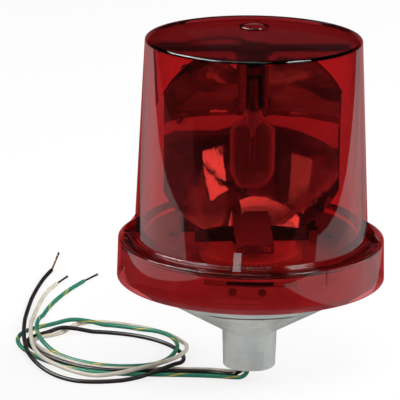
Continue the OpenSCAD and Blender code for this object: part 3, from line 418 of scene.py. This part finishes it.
def rod(radius, low, high, at=(0, 0), alongY=False, segments=32, bm=None):
    bm = bm or bmesh.new()
    made = bmesh.ops.create_cone(bm, cap_ends=True, segments=segments, radius1=radius * mm,
                                 radius2=radius * mm, depth=(high - low) * mm)["verts"]
    bmesh.ops.translate(bm, verts=made, vec=(0, 0, (low + high) / 2 * mm))
    if alongY:
        bmesh.ops.rotate(bm, verts=made, matrix=Matrix.Rotation(math.radians(-90), 3, "X"))
        bmesh.ops.translate(bm, verts=made, vec=(at[0] * mm, 0, at[1] * mm))
    else:
        bmesh.ops.translate(bm, verts=made, vec=(at[0] * mm, at[1] * mm, 0))
    return bm


def prism(outline, low, high):
    bm = bmesh.new()
    ends = [[bm.verts.new((x * mm, t * mm, z * mm)) for x, z in outline] for t in (low, high)]
    bm.faces.new(ends[0])
    bm.faces.new(list(reversed(ends[1])))
    n = len(outline)
    for k in range(n):
        bm.faces.new([ends[0][(k + 1) % n], ends[0][k], ends[1][k], ends[1][(k + 1) % n]])
    return bm


def turned(bm, angle):
    bmesh.ops.rotate(bm, verts=bm.verts, matrix=Matrix.Rotation(math.radians(angle), 3, "Z"))


def smoothRoute(points, steps):
    points = [Vector(p) for p in points]
    route = []
    for i in range(len(points) - 1):
        a, b, c, d = (points[max(0, min(len(points) - 1, j))] for j in (i - 1, i, i + 1, i + 2))
        for k in range(steps):
            t = k / steps
            route.append(0.5 * (2 * b + (c - a) * t + (2 * a - 5 * b + 4 * c - d) * t * t
                                + (3 * b - a - 3 * c + d) * t ** 3))
    return route + [points[-1]]


def tube(route, radius, sides=12, bm=None, rounding=0.0):
    bm = bm or bmesh.new()
    uv = bm.loops.layers.uv.verify()
    side = Vector((0.1, 1, 0.2))
    length = 0.0
    rings = []
    for i, point in enumerate(route):
        along = (route[min(i + 1, len(route) - 1)] - route[max(i - 1, 0)]).normalized()
        side = (side - side.dot(along) * along).normalized()
        other = along.cross(side)
        if i:
            length += (point - route[i - 1]).length
        slim = radius * (1 - rounding) if i in (0, len(route) - 1) else radius
        rings.append(([bm.verts.new(point + slim * (math.cos(a) * side + math.sin(a) * other))
                       for a in (2 * math.pi * k / sides for k in range(sides))], length))
    for (a, la), (b, lb) in zip(rings, rings[1:]):
        for k in range(sides):
            n = (k + 1) % sides
            face = bm.faces.new([a[k], a[n], b[n], b[k]])
            for loop, where in zip(face.loops, ((la, k), (la, k + 1), (lb, k + 1), (lb, k))):
                loop[uv].uv = (where[0], where[1] / sides)
    bm.faces.new(list(reversed(rings[0][0])))
    bm.faces.new(rings[-1][0])
    return bm


# the three loose leads; each route is in mm, from the seal in the hub to the end of the insulation
leadSettings = {
    "level": -10.0, "diameter": 3.5, "bare": 26.0, "strand": 0.3, "strands": 6, "lay": 14.0, "core": 0.6,
    "bareSteps": 26, "coreStrand": 1.2, "fray": 0.35, "frayFrom": 0.8, "routeSteps": 6, "sides": 14,
    "rounding": 0.12,
    "rise": {"black": 20.0},
    "black": [
        (-6, 1.5, 23.96), (-6, 1.5, 14), (-6, 1.5, 5), (-6, 1.5, -1.5), (-6.6, 1.8, -4.8), (-8.5, 2.5, -7.5),
        (-11.3, 3.5, -9.4), (-14.6, 4.2, -10), (-20, 4.9, -10), (-32, 9, -10), (-50, 10, -10),
        (-70, 10, -10), (-92, 9, -10), (-112, 9, -10), (-132, 15, -10), (-150, 27, -10), (-167, 45, -10),
        (-180, 66, -10), (-183.5, 80, -10), (-179, 92, -10), (-169, 99.5, -8.8), (-157, 104, -6),
        (-145, 106.5, -7.4), (-130, 107, -10), (-113, 104.5, -10), (-96, 99, -10), (-80, 89.5, -10),
        (-67, 76.5, -10), (-58, 61, -10), (-53.5, 45, -10), (-54.5, 29, -8.8), (-60.5, 14, -6), (-71, 1, -6),
        (-85, -9, -8.4), (-101, -15.5, -10), (-118, -19.5, -10), (-136, -18.5, -10), (-152, -9.5, -9.4),
        (-165, 4, -7.6), (-174.5, 22, -6), (-181, 44, -6), (-185, 68, -6), (-187.5, 92, -6), (-189, 116, -6),
        (-190, 140, -8.6), (-190, 168, -10), (-189, 198, -10), (-186.5, 228, -10), (-183, 256, -10),
        (-178, 282, -10)],
    "white": [
        (-2, 7, 23.96), (-2, 7, 14), (-2, 7, 5), (-2, 7, -1.5), (-2.6, 7.4, -4.8), (-4.5, 8.2, -7.5),
        (-7.3, 9.4, -9.4), (-10.6, 10.2, -10), (-16, 11, -10), (-30, 14, -10), (-50, 14.5, -10),
        (-70, 14.2, -10), (-92, 13.5, -10), (-111, 13.5, -10), (-130, 19.5, -10), (-147, 31.5, -10),
        (-163, 49, -10), (-175, 68, -10), (-178.5, 80, -10), (-174, 90, -10), (-164, 97, -10),
        (-156, 105, -10), (-151, 116, -10), (-145, 127, -10), (-134, 133.5, -10), (-119, 132.5, -10),
        (-101, 126, -10), (-82, 115.5, -10), (-66, 101, -10), (-55.5, 83, -9.6), (-51.5, 65, -7.2),
        (-52.5, 47, -6), (-60, 31, -6), (-72, 16.5, -6), (-87, 4, -6), (-104, -6.5, -7), (-122, -10, -8),
        (-139, -5, -6.8), (-154, 8, -6), (-166, 25, -6), (-174.5, 45, -6), (-179, 68, -6), (-182, 93, -6),
        (-183.5, 119, -6.4), (-183.5, 146, -10), (-182, 174, -10), (-179.5, 200, -10), (-176, 222, -10),
        (-170.5, 241, -10)],
    "green": [
        (-1, -5.5, 23.96), (-1, -5.5, 14), (-1, -5.5, 5), (-1, -5.5, -1.5), (-1.6, -5.2, -4.8),
        (-3.5, -4.8, -7.5), (-6.3, -4, -9.4), (-9.6, -3.5, -10), (-15, -3, -10), (-28, -1, -10),
        (-48, 0, -10), (-70, 0, -10), (-92, 0, -10), (-114, 2, -10), (-136, 9, -10), (-156, 22, -10),
        (-174, 41, -10), (-187, 63, -10), (-192, 84, -10), (-189, 102, -10), (-179, 115, -10),
        (-165, 122.5, -8.6), (-151, 126, -6), (-137, 127, -7), (-122, 126, -10), (-106, 122, -10),
        (-91, 114.5, -9.6), (-77, 103, -7.4), (-66.5, 88, -6), (-60, 71, -6), (-59.5, 54, -6.4),
        (-65, 38, -8.6), (-76, 26.5, -10), (-91, 20.5, -10), (-108, 19.5, -10), (-126, 24, -10),
        (-143, 34, -10), (-158, 49, -9.4), (-169, 67, -6.8), (-175, 86, -6), (-178, 106, -6),
        (-178, 128, -6.6), (-175.5, 152, -10), (-171.5, 177, -10), (-165, 203, -10), (-156.5, 228, -10),
        (-147, 250, -10)],
}
insulation = {"black": blackInsulation, "white": creamInsulation, "green": greenInsulation}


def bareStrands(name, start, way, s, rise):
    bm = bmesh.new()
    drop = Vector((0, 0, 0 if rise else -(s["diameter"] / 2 - s["core"] - s["strand"]) * mm))
    way = Vector((way.x * math.cos(rise), way.y * math.cos(rise), math.sin(rise)))
    steps = s["bareSteps"]
    for strand in range(s["strands"] + 1):
        points = []
        for k in range(steps + 1):
            t = k / steps
            away = s["bare"] * t * mm   # the strands lie twisted and part a little near their tips
            spin = 2 * math.pi * (strand / s["strands"] + s["bare"] * t / s["lay"])
            fray = 1 + s["fray"] * max(0, t - s["frayFrom"]) / (1 - s["frayFrom"])
            spread = (0 if strand == s["strands"] else s["core"] * mm) * fray
            across = way.cross(Vector((0, 0, 1))).normalized()
            over = across.cross(way)
            points.append(start + way * away + drop * t
                          + spread * (math.cos(spin) * across + math.sin(spin) * over))
        tube(points, s["strand"] * mm * (1.0 if strand < s["strands"] else s["coreStrand"]), 6, bm)
    return pieceFrom(bm, name, agedCopper, "base")


def makeLead(colour, s):
    route = smoothRoute(s[colour], s["routeSteps"])
    route = [Vector((p.x, p.y, max(p.z, s["level"]))) * mm for p in route]
    jacket = tube(route, s["diameter"] / 2 * mm, s["sides"], rounding=s["rounding"])
    piece = pieceFrom(jacket, f"{colour}Lead", insulation[colour], "base")
    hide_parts(f"lead_{colour}")
    way = route[-1] - route[-2]
    way.z = 0
    rise = math.radians(s["rise"].get(colour, 0))
    bare = bareStrands(f"{colour}Strands", route[-1], way.normalized(), s, rise)
    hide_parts(f"conductor_{colour}")
    length = sum((b - a).length for a, b in zip(route, route[1:]))
    return length


for leadColour in ("black", "white", "green"):
    print(f"{leadColour} lead: {makeLead(leadColour, leadSettings):.3f} m")


# the dome: skirt, flange, land, wall and crown in one closed moulding, with ribs and lugs joined on
domeSettings = {"skirtRadius": 105, "skirtFlare": 0.6, "skirtLow": 75, "land": 107, "step": 94.5,
                "root": 92.7, "stepHigh": 108.8, "topRadius": 84.59, "edge": 267, "crown": 8,
                "edgeRound": 2.5, "button": 11, "buttonTop": 275.6, "wall": 3, "flange": 3.6, "ribTurn": -96,
                "ribHigh": 13, "ribThick": 6, "ribOut": 8.5, "lug": (101, 102.5, 79, 82.5), "lugHalf": 10,
                "indexTurn": -56, "indexHalf": 0.8, "indexOut": 0.7, "indexLow": 13, "indexHigh": 1.2,
                "ribSink": 1.4, "segments": 240, "crownSteps": 40}


def makeDome(s):
    lean = (s["root"] - s["topRadius"]) / (s["edge"] - s["land"])
    arcEdge = s["topRadius"] - s["edgeRound"]
    shoulder = [(arcEdge + s["edgeRound"] * math.cos(a),
                 s["edge"] - s["edgeRound"] + s["edgeRound"] * math.sin(a), 0)
                for a in (math.radians(3 + 75 * k / 9) for k in range(10))]
    wholeCrown = crown(arcEdge, s["edge"], s["crown"], s["crownSteps"])
    outerCrown = [p for p in wholeCrown if p[0] > s["button"] + 1]
    crownTop = s["edge"] + s["crown"]
    innerCrown = crown(s["topRadius"] - s["wall"], s["edge"] - s["wall"], s["crown"], s["crownSteps"])
    innerSkirt = s["skirtRadius"] - s["wall"]
    corners = [(innerSkirt + s["skirtFlare"], s["skirtLow"], 0.5),
               (s["skirtRadius"] + s["skirtFlare"], s["skirtLow"], 0.9), (s["skirtRadius"], s["land"], 1.2),
               (s["step"], s["land"], 0.5), (s["step"], s["stepHigh"], 0.6),
               (s["root"] - lean * 1.8, s["stepHigh"], 0.5)]
    corners += shoulder + outerCrown
    corners += [(s["button"] + 0.3, crownTop - 0.15, 0.2), (s["button"], s["buttonTop"], 0.3),
                (0, s["buttonTop"], 0)]
    corners += [(0, crownTop - s["wall"], 0)] + [p for p in reversed(innerCrown) if p[0] > 0.5]
    corners += [(s["root"] - s["wall"], s["land"], 3), (s["root"] - s["wall"], s["land"] - s["flange"], 0.4),
                (innerSkirt, s["land"] - s["flange"], 0.8)]
    piece = pieceFrom(lathe(fillet(corners), s["segments"]), "redDome", redAcrylic, "dome")
    extras = bmesh.new()
    back = s["root"] - s["ribSink"]
    foot, head = s["root"] + s["ribOut"], s["land"] + s["ribHigh"]
    inset = s["ribHigh"] * lean
    for k in range(4):
        rib = prism([(back, s["land"] - 1), (foot, s["land"] - 1), (foot, s["land"] + 0.6),
                     (s["root"] + 0.4 - inset, head), (back - inset, head)],
                    -s["ribThick"] / 2, s["ribThick"] / 2)
        turned(rib, s["ribTurn"] + 90 * k)
        lug = lathe(oblong(*s["lug"]), 12, None, s["ribTurn"] + 90 * k - s["lugHalf"], 2 * s["lugHalf"])
        for part in (rib, lug):
            mesh = bpy.data.meshes.new("part")
            part.to_mesh(mesh)
            extras.from_mesh(mesh)
            bpy.data.meshes.remove(mesh)
            part.free()
    index = block((s["skirtRadius"] - 1, -s["indexHalf"], s["land"] - s["indexLow"]),
                  (s["skirtRadius"] + s["indexOut"], s["indexHalf"], s["land"] - s["indexHigh"]))
    turned(index, s["indexTurn"])
    combine(piece, ("UNION", extras), ("UNION", index))
    smoothTo(piece, 32)
    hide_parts("dome")


makeDome(domeSettings)
print("dome ready")


# the base: hub with flats and threaded bore, cone, rim wall and ledge
baseSettings = {"hubRadius": 21.3, "hubTop": 21.9, "hubHigh": 31, "bore": 12.2, "mouth": 13.7, "rim": 100.5,
                "rimInner": 96.5, "coneTop": 76.7, "rimTop": 101.3, "ledge": 80, "ledgeRadius": 88,
                "castWall": 4, "flat": 17.5, "flatHigh": 17, "threadPitch": 1.814, "threadDeep": 0.7,
                "threadTop": 22, "boreTop": 22.6, "cutPast": 40, "slotHalf": 35, "slotLow": 95.5,
                "slotHigh": 100, "slotIn": 79, "slotOut": 104, "screws": (-13, 9), "screwZ": 91.5,
                "screwHole": 3, "screwSpan": (-106, -98.5), "lug": (99, 101.6, 83, 86.5), "lugTurn": -96,
                "lugHalf": 10, "cutUnder": 3, "soften": 0.5, "segments": 192}


def coneSlope(s):
    return (s["coneTop"] - s["hubHigh"]) / (s["rim"] - s["hubTop"])


def coneHeight(s, radius):
    return s["hubHigh"] + (radius - s["hubTop"]) * coneSlope(s)


def makeBase(s):
    upright = s["castWall"] * math.hypot(1, coneSlope(s))
    inner = coneHeight(s, s["bore"]) + upright
    ledgeUnder = coneHeight(s, s["ledgeRadius"]) + upright
    thread = []
    z = s["threadPitch"]
    while z < s["threadTop"]:
        thread += [(s["bore"], z, 0), (s["bore"] + s["threadDeep"], z + s["threadPitch"] / 2, 0)]
        z += s["threadPitch"]
    corners = [(s["mouth"], 0, 0.3), (s["hubRadius"], 0, 1.6), (s["hubTop"], s["hubHigh"], 0.8),
               (s["rim"], s["coneTop"], 2.0), (s["rim"], s["rimTop"], 0.5),
               (s["rimInner"], s["rimTop"], 0.5), (s["rimInner"], s["ledge"], 0.8),
               (s["ledgeRadius"], s["ledge"], 0.5), (s["ledgeRadius"], ledgeUnder, 1.0),
               (s["bore"], inner, 1.0), (s["bore"], s["boreTop"], 0)]
    corners += list(reversed(thread))
    piece = pieceFrom(lathe(fillet(corners), s["segments"]), "castBase", castEnamel, "base")
    lugs = bmesh.new()
    for k in range(4):
        lathe(oblong(*s["lug"]), 12, lugs, s["lugTurn"] + 90 * k - s["lugHalf"], 2 * s["lugHalf"])
    past, under = s["cutPast"], s["cutUnder"]
    flats = block((-past, s["flat"], -under), (past, past, s["flatHigh"]))
    block((-past, -past, -under), (past, -s["flat"], s["flatHigh"]), flats)
    slots = block((-s["slotHalf"], -s["slotOut"], s["slotLow"]),
                  (s["slotHalf"], -s["slotIn"], s["slotHigh"]))
    for x in s["screws"]:
        rod(s["screwHole"], *s["screwSpan"], (x, s["screwZ"]), alongY=True, bm=slots)
    combine(piece, ("UNION", lugs), ("DIFFERENCE", flats), ("DIFFERENCE", slots))
    softenEdges(piece, s["soften"], 40)
    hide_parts("base_casting")


makeBase(baseSettings)
print("base ready")


# the blank foil plate, pressed round the cone, a little crinkled
plateSettings = {"start": 41.35, "end": 73.35, "turn": -88, "half": 28, "thick": 0.28, "crinkle": 0.1,
                 "corner": 3.0, "lift": 0.03, "rows": 26, "columns": 60}


def makePlate(s, base):
    bm = bmesh.new()
    rows, columns = s["rows"], s["columns"]
    grids = []
    for side in (0, 1):
        grid = []
        for i in range(rows + 1):
            row = []
            for j in range(columns + 1):
                u, v = i / rows, j / columns
                r = s["start"] + (s["end"] - s["start"]) * u
                edge = min(u, 1 - u) * (s["end"] - s["start"])
                pull = max(0.0, 1 - edge / s["corner"])
                half = math.radians(s["half"]) - (1 - math.sqrt(max(0.0, 1 - pull * pull))) * s["corner"] / r
                a = math.radians(s["turn"]) + (2 * v - 1) * half
                # three crossing waves, which fade towards the plate's edges
                ripple = s["crinkle"] * (0.6 * math.sin(9 * u + 17 * v) + 0.5 * math.sin(23 * v - 7 * u)
                                         + 0.4 * math.sin(31 * u * v + 2)) * (0.2 + 0.8 * min(1, edge / 6))
                z = coneHeight(base, r) - s["lift"] - side * (s["thick"] + abs(ripple))
                row.append(bm.verts.new((r * math.cos(a) * mm, r * math.sin(a) * mm, z * mm)))
            grid.append(row)
        grids.append(grid)
    for grid in grids:
        for i in range(rows):
            for j in range(columns):
                bm.faces.new([grid[i][j], grid[i + 1][j], grid[i + 1][j + 1], grid[i][j + 1]])
    a, b = grids
    loop = [(i, 0) for i in range(rows)] + [(rows, j) for j in range(columns)]
    loop += [(i, columns) for i in range(rows, 0, -1)] + [(0, j) for j in range(columns, 0, -1)]
    for (i, j), (m, n) in zip(loop, loop[1:] + loop[:1]):
        bm.faces.new([a[i][j], a[m][n], b[m][n], b[i][j]])
    piece = pieceFrom(bm, "blankFoilPlate", satinFoil, "base", 40)
    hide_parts("rating_plate")


makePlate(plateSettings, baseSettings)
print("plate ready")


# everything on the rotor is made square to the axes and then turned to its resting angle
rotorTurn = 5
dishSettings = {"centre": 181, "radius": 80.45, "thick": 1.4, "flat": 70, "cut": 71, "top": 67, "notch": 20,
                "notchUp": 2, "rivets": 73, "hole": 1.25, "far": 120, "over": 6, "hollowOver": 3,
                "holeDepth": 8, "steps": 56, "segments": 224}


def makeDish(s):
    focus = s["radius"] / 2
    steps = s["steps"]

    def curve(setBack):
        points = []
        for k in range(steps + 1):
            r = s["radius"] * k / steps
            a = math.atan(r / (2 * focus))
            points.append((r + setBack * math.sin(a), r * r / (4 * focus) - setBack * math.cos(a)))
        return points

    outer, cavity = curve(s["thick"]), curve(0)
    piece = pieceFrom(lathe(outer + [(outer[-1][0], focus), (0, focus)], s["segments"]), "dish",
                      brightAluminium, None)
    hollow = lathe(cavity + [(cavity[-1][0], focus + s["hollowOver"]), (0, focus + s["hollowOver"])],
                   s["segments"])
    for side in (1, -1):
        geometry = list(hollow.verts) + list(hollow.edges) + list(hollow.faces)
        cut = bmesh.ops.bisect_plane(hollow, geom=geometry, plane_co=(side * s["flat"] * mm, 0, 0),
                                     plane_no=(side, 0, 0), clear_outer=True)
        bmesh.ops.contextual_create(hollow,
                                    geom=[e for e in cut["geom_cut"] if isinstance(e, bmesh.types.BMEdge)])
    edge = s["flat"] + s["thick"]
    far, low, high = s["far"], -s["over"], focus + s["over"]
    sides = block((edge, -far, low), (far, far, focus - s["thick"]))
    block((-far, -far, low), (-edge, far, focus - s["thick"]), sides)
    below = block((-far, -far, low), (far, -s["cut"], high))
    above = block((-far, s["top"], low), (far, far, high))
    notch = rod(s["notch"], low, high, (0, s["top"] + s["notchUp"]), segments=96)
    holes = bmesh.new()
    for k in range(4):
        a = math.radians(45 + 90 * k)
        made = bmesh.ops.create_cone(holes, cap_ends=True, segments=24, radius1=s["hole"] * mm,
                                     radius2=s["hole"] * mm, depth=s["holeDepth"] * mm)["verts"]
        slope = math.atan(s["rivets"] / (2 * focus))
        bmesh.ops.rotate(holes, verts=made, matrix=Matrix.Rotation(-slope, 3, "Y"))
        depth = s["rivets"] ** 2 / (4 * focus)
        bmesh.ops.translate(holes, verts=made, vec=(s["rivets"] * mm, 0, depth * mm))
        bmesh.ops.rotate(holes, verts=made, matrix=Matrix.Rotation(a, 3, "Z"))
    combine(piece, ("DIFFERENCE", hollow), ("DIFFERENCE", sides), ("DIFFERENCE", below),
            ("DIFFERENCE", above), ("DIFFERENCE", notch), ("DIFFERENCE", holes))
    piece.data.materials.append(pickledRim)
    for face in piece.data.polygons:
        if abs(face.center.x) > (s["flat"] + s["thick"] / 2) * mm:
            face.material_index = 1
    upright = Matrix.Rotation(math.radians(90), 4, "X")
    place = Matrix.Translation(Vector((0, focus, s["centre"])) * mm) @ upright
    piece.data.transform(Matrix.Rotation(math.radians(rotorTurn), 4, "Z") @ place)
    smoothTo(piece, 34)
    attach(piece, "rotor")
    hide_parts("reflector")


makeDish(dishSettings)
print("dish ready")


# the lamp's inside: a frosted stem, two lead-in wires and a coiled filament between them
lampSettings = {"axisLow": 161.4, "stemLow": 185.4, "top": 207.4, "stemRadius": 2.4, "stemRoot": 4.0,
                "wire": 0.32, "spread": 1.8, "coil": 0.62, "coilWire": 0.16, "turns": 16, "perTurn": 10,
                "sag": 0.5}


def makeLampInside(s):
    stem = [(0, s["stemLow"], 0), (s["stemRadius"] - 0.5, s["stemLow"], 0.8),
            (s["stemRadius"], s["stemLow"] + 4, 2), (s["stemRadius"] + 0.2, s["top"] - 9, 4),
            (s["stemRoot"], s["top"] - 0.3, 0), (0, s["top"] - 0.3, 0)]
    bm = lathe(fillet(stem), 40)
    glassFaces = len(bm.faces)
    for side in (-1, 1):
        route = [(side * s["spread"], 0, s["stemLow"] + 1),
                 (side * s["spread"] * 1.05, 0, s["axisLow"] + 12),
                 (side * s["spread"], 0, s["axisLow"] + 1), (side * (s["spread"] - 0.3), 0, s["axisLow"])]
        tube([p * mm for p in smoothRoute(route, 4)], s["wire"] * mm, 8, bm)
    steps = s["perTurn"] * s["turns"]
    coil = []
    for k in range(steps + 1):
        a = 2 * math.pi * k / s["perTurn"]
        x = (2 * k / steps - 1) * (s["spread"] - 0.1)
        sag = s["sag"] * (1 - (x / s["spread"]) ** 2)
        coil.append(Vector((x, s["coil"] * math.cos(a), s["axisLow"] - sag + s["coil"] * math.sin(a))) * mm)
    tube(coil, s["coilWire"] * mm, 5, bm)
    bm.faces.ensure_lookup_table()
    for face in bm.faces[glassFaces:]:
        face.material_index = 1
    turned(bm, rotorTurn)
    piece = pieceFrom(bm, "lampInside", stemGlass, "rotor", 40)
    piece.data.materials.append(lampWire)
    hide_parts("lamp_filament")


makeLampInside(lampSettings)
print("lamp ready")


# every other CAD node keeps its shape and takes its real finish
nodeFinishes = {"lead_seal": dullRubber, "dome_gasket": dullRubber, "chassis_plate": dullPlate,
                "chassis_screws": zincPlate, "gearmotor": motorCan, "motor_screws": zincPlate,
                "spindle": turnedSteel, "spindle_nut": zincPlate, "retaining_clip": springSteel,
                "brush_holder": brownPhenolic, "brushes": pressedCarbon, "terminal_block": blackPhenolic,
                "terminal_screws": plainBrass, "terminal_bracket": zincPlate, "rim_screws": zincPlate,
                "ground_screw": greenScrew, "inner_leads": blackInsulation, "turntable": naturalNylon,
                "spindle_bush": sinteredBronze, "slip_rings": plainBrass, "lower_crossbar": blackPhenolic,
                "crossbar_screws": zincPlate, "foot_bracket": pressedSheet, "reflector_rivets": zincPlate,
                "reflector_posts": turnedSteel, "rear_uprights": zincPlate, "lamp_arm": zincPlate,
                "upper_crossbar": blackEnamel, "lamp_socket": zincPlate, "socket_screws": zincPlate,
                "socket_contact": plainBrass, "lamp_cap": plainBrass, "lamp_glass": lampGlass,
                "rotor_lead": darkSleeve, "motor_shaft": turnedSteel, "drive_pinion": naturalNylon}
for nodeName, finish in nodeFinishes.items():
    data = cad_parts[nodeName].data
    data.materials.clear()
    data.materials.append(finish)
print("CAD nodes finished:", len(nodeFinishes))


# the studio: a white table that ends short of the front wall, and soft lamps. Seen directly all of it is
# white. In the mirror the table is white up to its edges and the room beyond it dark, with bright cards. The
# dome's own surface reflects a wider table, the apron, with a gap in front of the light. Lengths are in mm,
# but a lamp is its place and size in metres and its power in watts, and aims at one point on the axis.
studio = {"floorLevel": -11.75, "floorSize": 14, "world": 0.62, "shadow": 0.22, "room": 0.03,
          "table": {"left": -920, "right": 450, "front": -440},
          "apron": {"left": -1500, "right": 1300, "front": -600},
          "gap": (-480, 280), "softEdge": 10, "onSurface": 0.12, "rear": (0.02, 0.14),
          "cards": [(47, 19, 10, 19, 3.4, 1), (-12, 52.5, 37, 6.5, 3.2, 4), (-28, 62, 9, 4, 3.6, 4),
                    (-43, 24, 8, 19, 1.1, 1), (-84, 44, 38, 11, 0, 15), (57, 44, 15, 10, 0, 18),
                    (-4, 76, 14, 8, 0, 3)],
          "glow": (1.0, 3.2, 2.0), "clutter": 0.3, "clutterSize": 0.26, "clutterFrom": 0.55,
          "clutterTo": 0.9, "seenBy": ("Camera", "Glossy", "Transmission"), "aim": 0.15,
          "lamps": {"leftBox": ((-2.3, -0.9, 1.5), 1.5, 22), "topBox": ((0.3, -1.6, 2.4), 1.2, 22),
                    "rightBox": ((2.2, 0.2, 1.3), 1.4, 45)}}


def makeFloor(s):
    floor, tree = emptyMaterial("whiteTable")   # seamless white paper, with a faint shadow left on it
    path = addNode(tree, "ShaderNodeLightPath")
    place = addNode(tree, "ShaderNodeTexCoord")
    at = addNode(tree, "ShaderNodeSeparateXYZ", {0: place.outputs["Object"]})
    soft = s["softEdge"] * mm

    def rising(axis, low, high):
        return addNode(tree, "ShaderNodeMapRange", {"Value": at.outputs[axis], "From Min": low,
                                                    "From Max": high}).outputs[0]

    def within(area):
        left, right, front = (area[side] * mm for side in ("left", "right", "front"))
        return folded(tree, "MULTIPLY", rising("X", left - soft, left + soft),
                      rising("X", right + soft, right - soft), rising("Y", front - soft, front + soft))

    mirrored = folded(tree, "MULTIPLY", within(s["table"]), path.outputs["Is Transmission Ray"])
    bare = folded(tree, "SUBTRACT", 1, path.outputs["Is Transmission Ray"])
    left, right = (edge * mm for edge in s["gap"])
    beside = folded(tree, "MAXIMUM", rising("X", left, left - soft), rising("X", right, right + soft))
    reflected = folded(tree, "MULTIPLY", within(s["apron"]), beside, bare)
    level = folded(tree, "MAXIMUM", mirrored, reflected, s["room"], path.outputs["Is Camera Ray"])
    seen = folded(tree, "MAXIMUM", *[path.outputs[f"Is {kind} Ray"] for kind in s["seenBy"]])
    unseen = folded(tree, "SUBTRACT", 1, seen)
    paper = addNode(tree, "ShaderNodeMix", {0: folded(tree, "MAXIMUM", level, unseen),
                                            6: linearColour("#000000"), 7: linearColour("#f4f4f4")},
                    data_type="RGBA")
    matt = addNode(tree, "ShaderNodeBsdfDiffuse", {"Color": paper.outputs[2]})
    white = addNode(tree, "ShaderNodeEmission", {"Color": linearColour("#ffffff"), "Strength": level})
    share = folded(tree, "MULTIPLY", seen, 1 - s["shadow"])
    mixed = addNode(tree, "ShaderNodeMixShader", {0: share, 1: matt.outputs[0], 2: white.outputs[0]})
    addNode(tree, "ShaderNodeOutputMaterial", {"Surface": mixed.outputs[0]})
    mesh = bpy.data.meshes.new("floor")
    half = s["floorSize"] / 2
    corners = ((-half, -half), (half, -half), (half, half), (-half, half))
    mesh.from_pydata([(x, y, 0) for x, y in corners], [], [(0, 1, 2, 3)])
    mesh.materials.append(floor)
    ground = bpy.data.objects.new("whiteTable", mesh)
    ground.location.z = s["floorLevel"] * mm
    bpy.context.scene.collection.objects.link(ground)


# What the mirror and the dome see round them: a dark room with cards and clutter in front, and behind it
# white for what is looked at through the dome, but dark for what its surface reflects, as the table ends
# there too. A card is the middle's azimuth and elevation, its half width and half height in degrees, and its
# brightness as it is seen in the mirror and as the dome's own surface reflects it. Through the red dome a
# card shows warmer than red alone, as it does on film.
def makeRoom(s):
    world = bpy.data.worlds.new("studio")
    bpy.context.scene.world = world
    world.use_nodes = True
    tree = world.node_tree
    tree.nodes.clear()
    place = addNode(tree, "ShaderNodeTexCoord")
    path = addNode(tree, "ShaderNodeLightPath")
    way = addNode(tree, "ShaderNodeSeparateXYZ", {0: place.outputs["Generated"]})
    front = folded(tree, "MULTIPLY", way.outputs["Y"], -1)
    turn = folded(tree, "ARCTAN2", way.outputs["X"], front)
    rise = addNode(tree, "ShaderNodeMath", {0: way.outputs["Z"]}, operation="ARCSINE").outputs[0]
    inMirror, onSurface = 0.0, 0.0
    for azimuth, elevation, halfWidth, halfHeight, mirrored, reflected in s["cards"]:
        inside = [addNode(tree, "ShaderNodeMath", {0: angle, 1: math.radians(middle),
                                                   2: math.radians(half)}, operation="COMPARE").outputs[0]
                  for angle, middle, half in ((turn, azimuth, halfWidth), (rise, elevation, halfHeight))]
        inMirror = folded(tree, "MAXIMUM", inMirror, folded(tree, "MULTIPLY", *inside, mirrored))
        onSurface = folded(tree, "MAXIMUM", onSurface, folded(tree, "MULTIPLY", *inside, reflected))
    cells = addNode(tree, "ShaderNodeTexVoronoi", {"Vector": place.outputs["Generated"],
                                                   "Scale": 1 / s["clutterSize"]})
    cell = addNode(tree, "ShaderNodeSeparateColor", {0: cells.outputs["Color"]})
    shade = addNode(tree, "ShaderNodeMapRange",
                    {"Value": cell.outputs[0], "From Min": s["clutterFrom"], "From Max": s["clutterTo"],
                     "To Min": s["room"], "To Max": s["clutter"]})
    behind = addNode(tree, "ShaderNodeMapRange", {"Value": way.outputs["Y"], "From Min": s["rear"][0],
                                                  "From Max": s["rear"][1]})
    rear = folded(tree, "MULTIPLY", behind.outputs[0], path.outputs["Is Transmission Ray"])
    dim = addNode(tree, "ShaderNodeMapRange",
                  {"Value": path.outputs["Is Transmission Ray"], "To Min": s["onSurface"]})
    lit = folded(tree, "MULTIPLY", shade.outputs[0], dim.outputs[0])
    plain = folded(tree, "MAXIMUM", rear, lit, path.outputs["Is Camera Ray"])
    warm = addNode(tree, "ShaderNodeVectorMath", {0: s["glow"], "Scale": inMirror}, operation="SCALE")
    cards = addNode(tree, "ShaderNodeMix", {0: path.outputs["Is Transmission Ray"], 6: onSurface,
                                            7: warm.outputs[0]}, data_type="RGBA")
    both = addNode(tree, "ShaderNodeVectorMath", {0: cards.outputs[2], 1: plain}, operation="MAXIMUM")
    seen = folded(tree, "MAXIMUM", *[path.outputs[f"Is {kind} Ray"] for kind in s["seenBy"]])
    soft = addNode(tree, "ShaderNodeBackground", {"Color": linearColour("#ffffff"), "Strength": s["world"]})
    room = addNode(tree, "ShaderNodeBackground", {"Color": both.outputs[0], "Strength": 1.0})
    mixed = addNode(tree, "ShaderNodeMixShader", {0: seen, 1: soft.outputs[0], 2: room.outputs[0]})
    addNode(tree, "ShaderNodeOutputWorld", {"Surface": mixed.outputs[0]})


def makeLamps(s):
    for name, (place, size, power) in s["lamps"].items():
        data = bpy.data.lights.new(name, "AREA")
        data.shape = "SQUARE"
        data.size = size
        data.energy = power
        lamp = bpy.data.objects.new(name, data)
        lamp.location = place
        aim = Vector((0, 0, s["aim"])) - Vector(place)
        lamp.rotation_euler = aim.to_track_quat("-Z", "Y").to_euler()
        lamp.visible_glossy = False
        lamp.visible_transmission = False
        bpy.context.scene.collection.objects.link(lamp)


makeFloor(studio)
makeRoom(studio)
makeLamps(studio)
bpy.context.scene.view_settings.view_transform = "Standard"
print("studio ready")
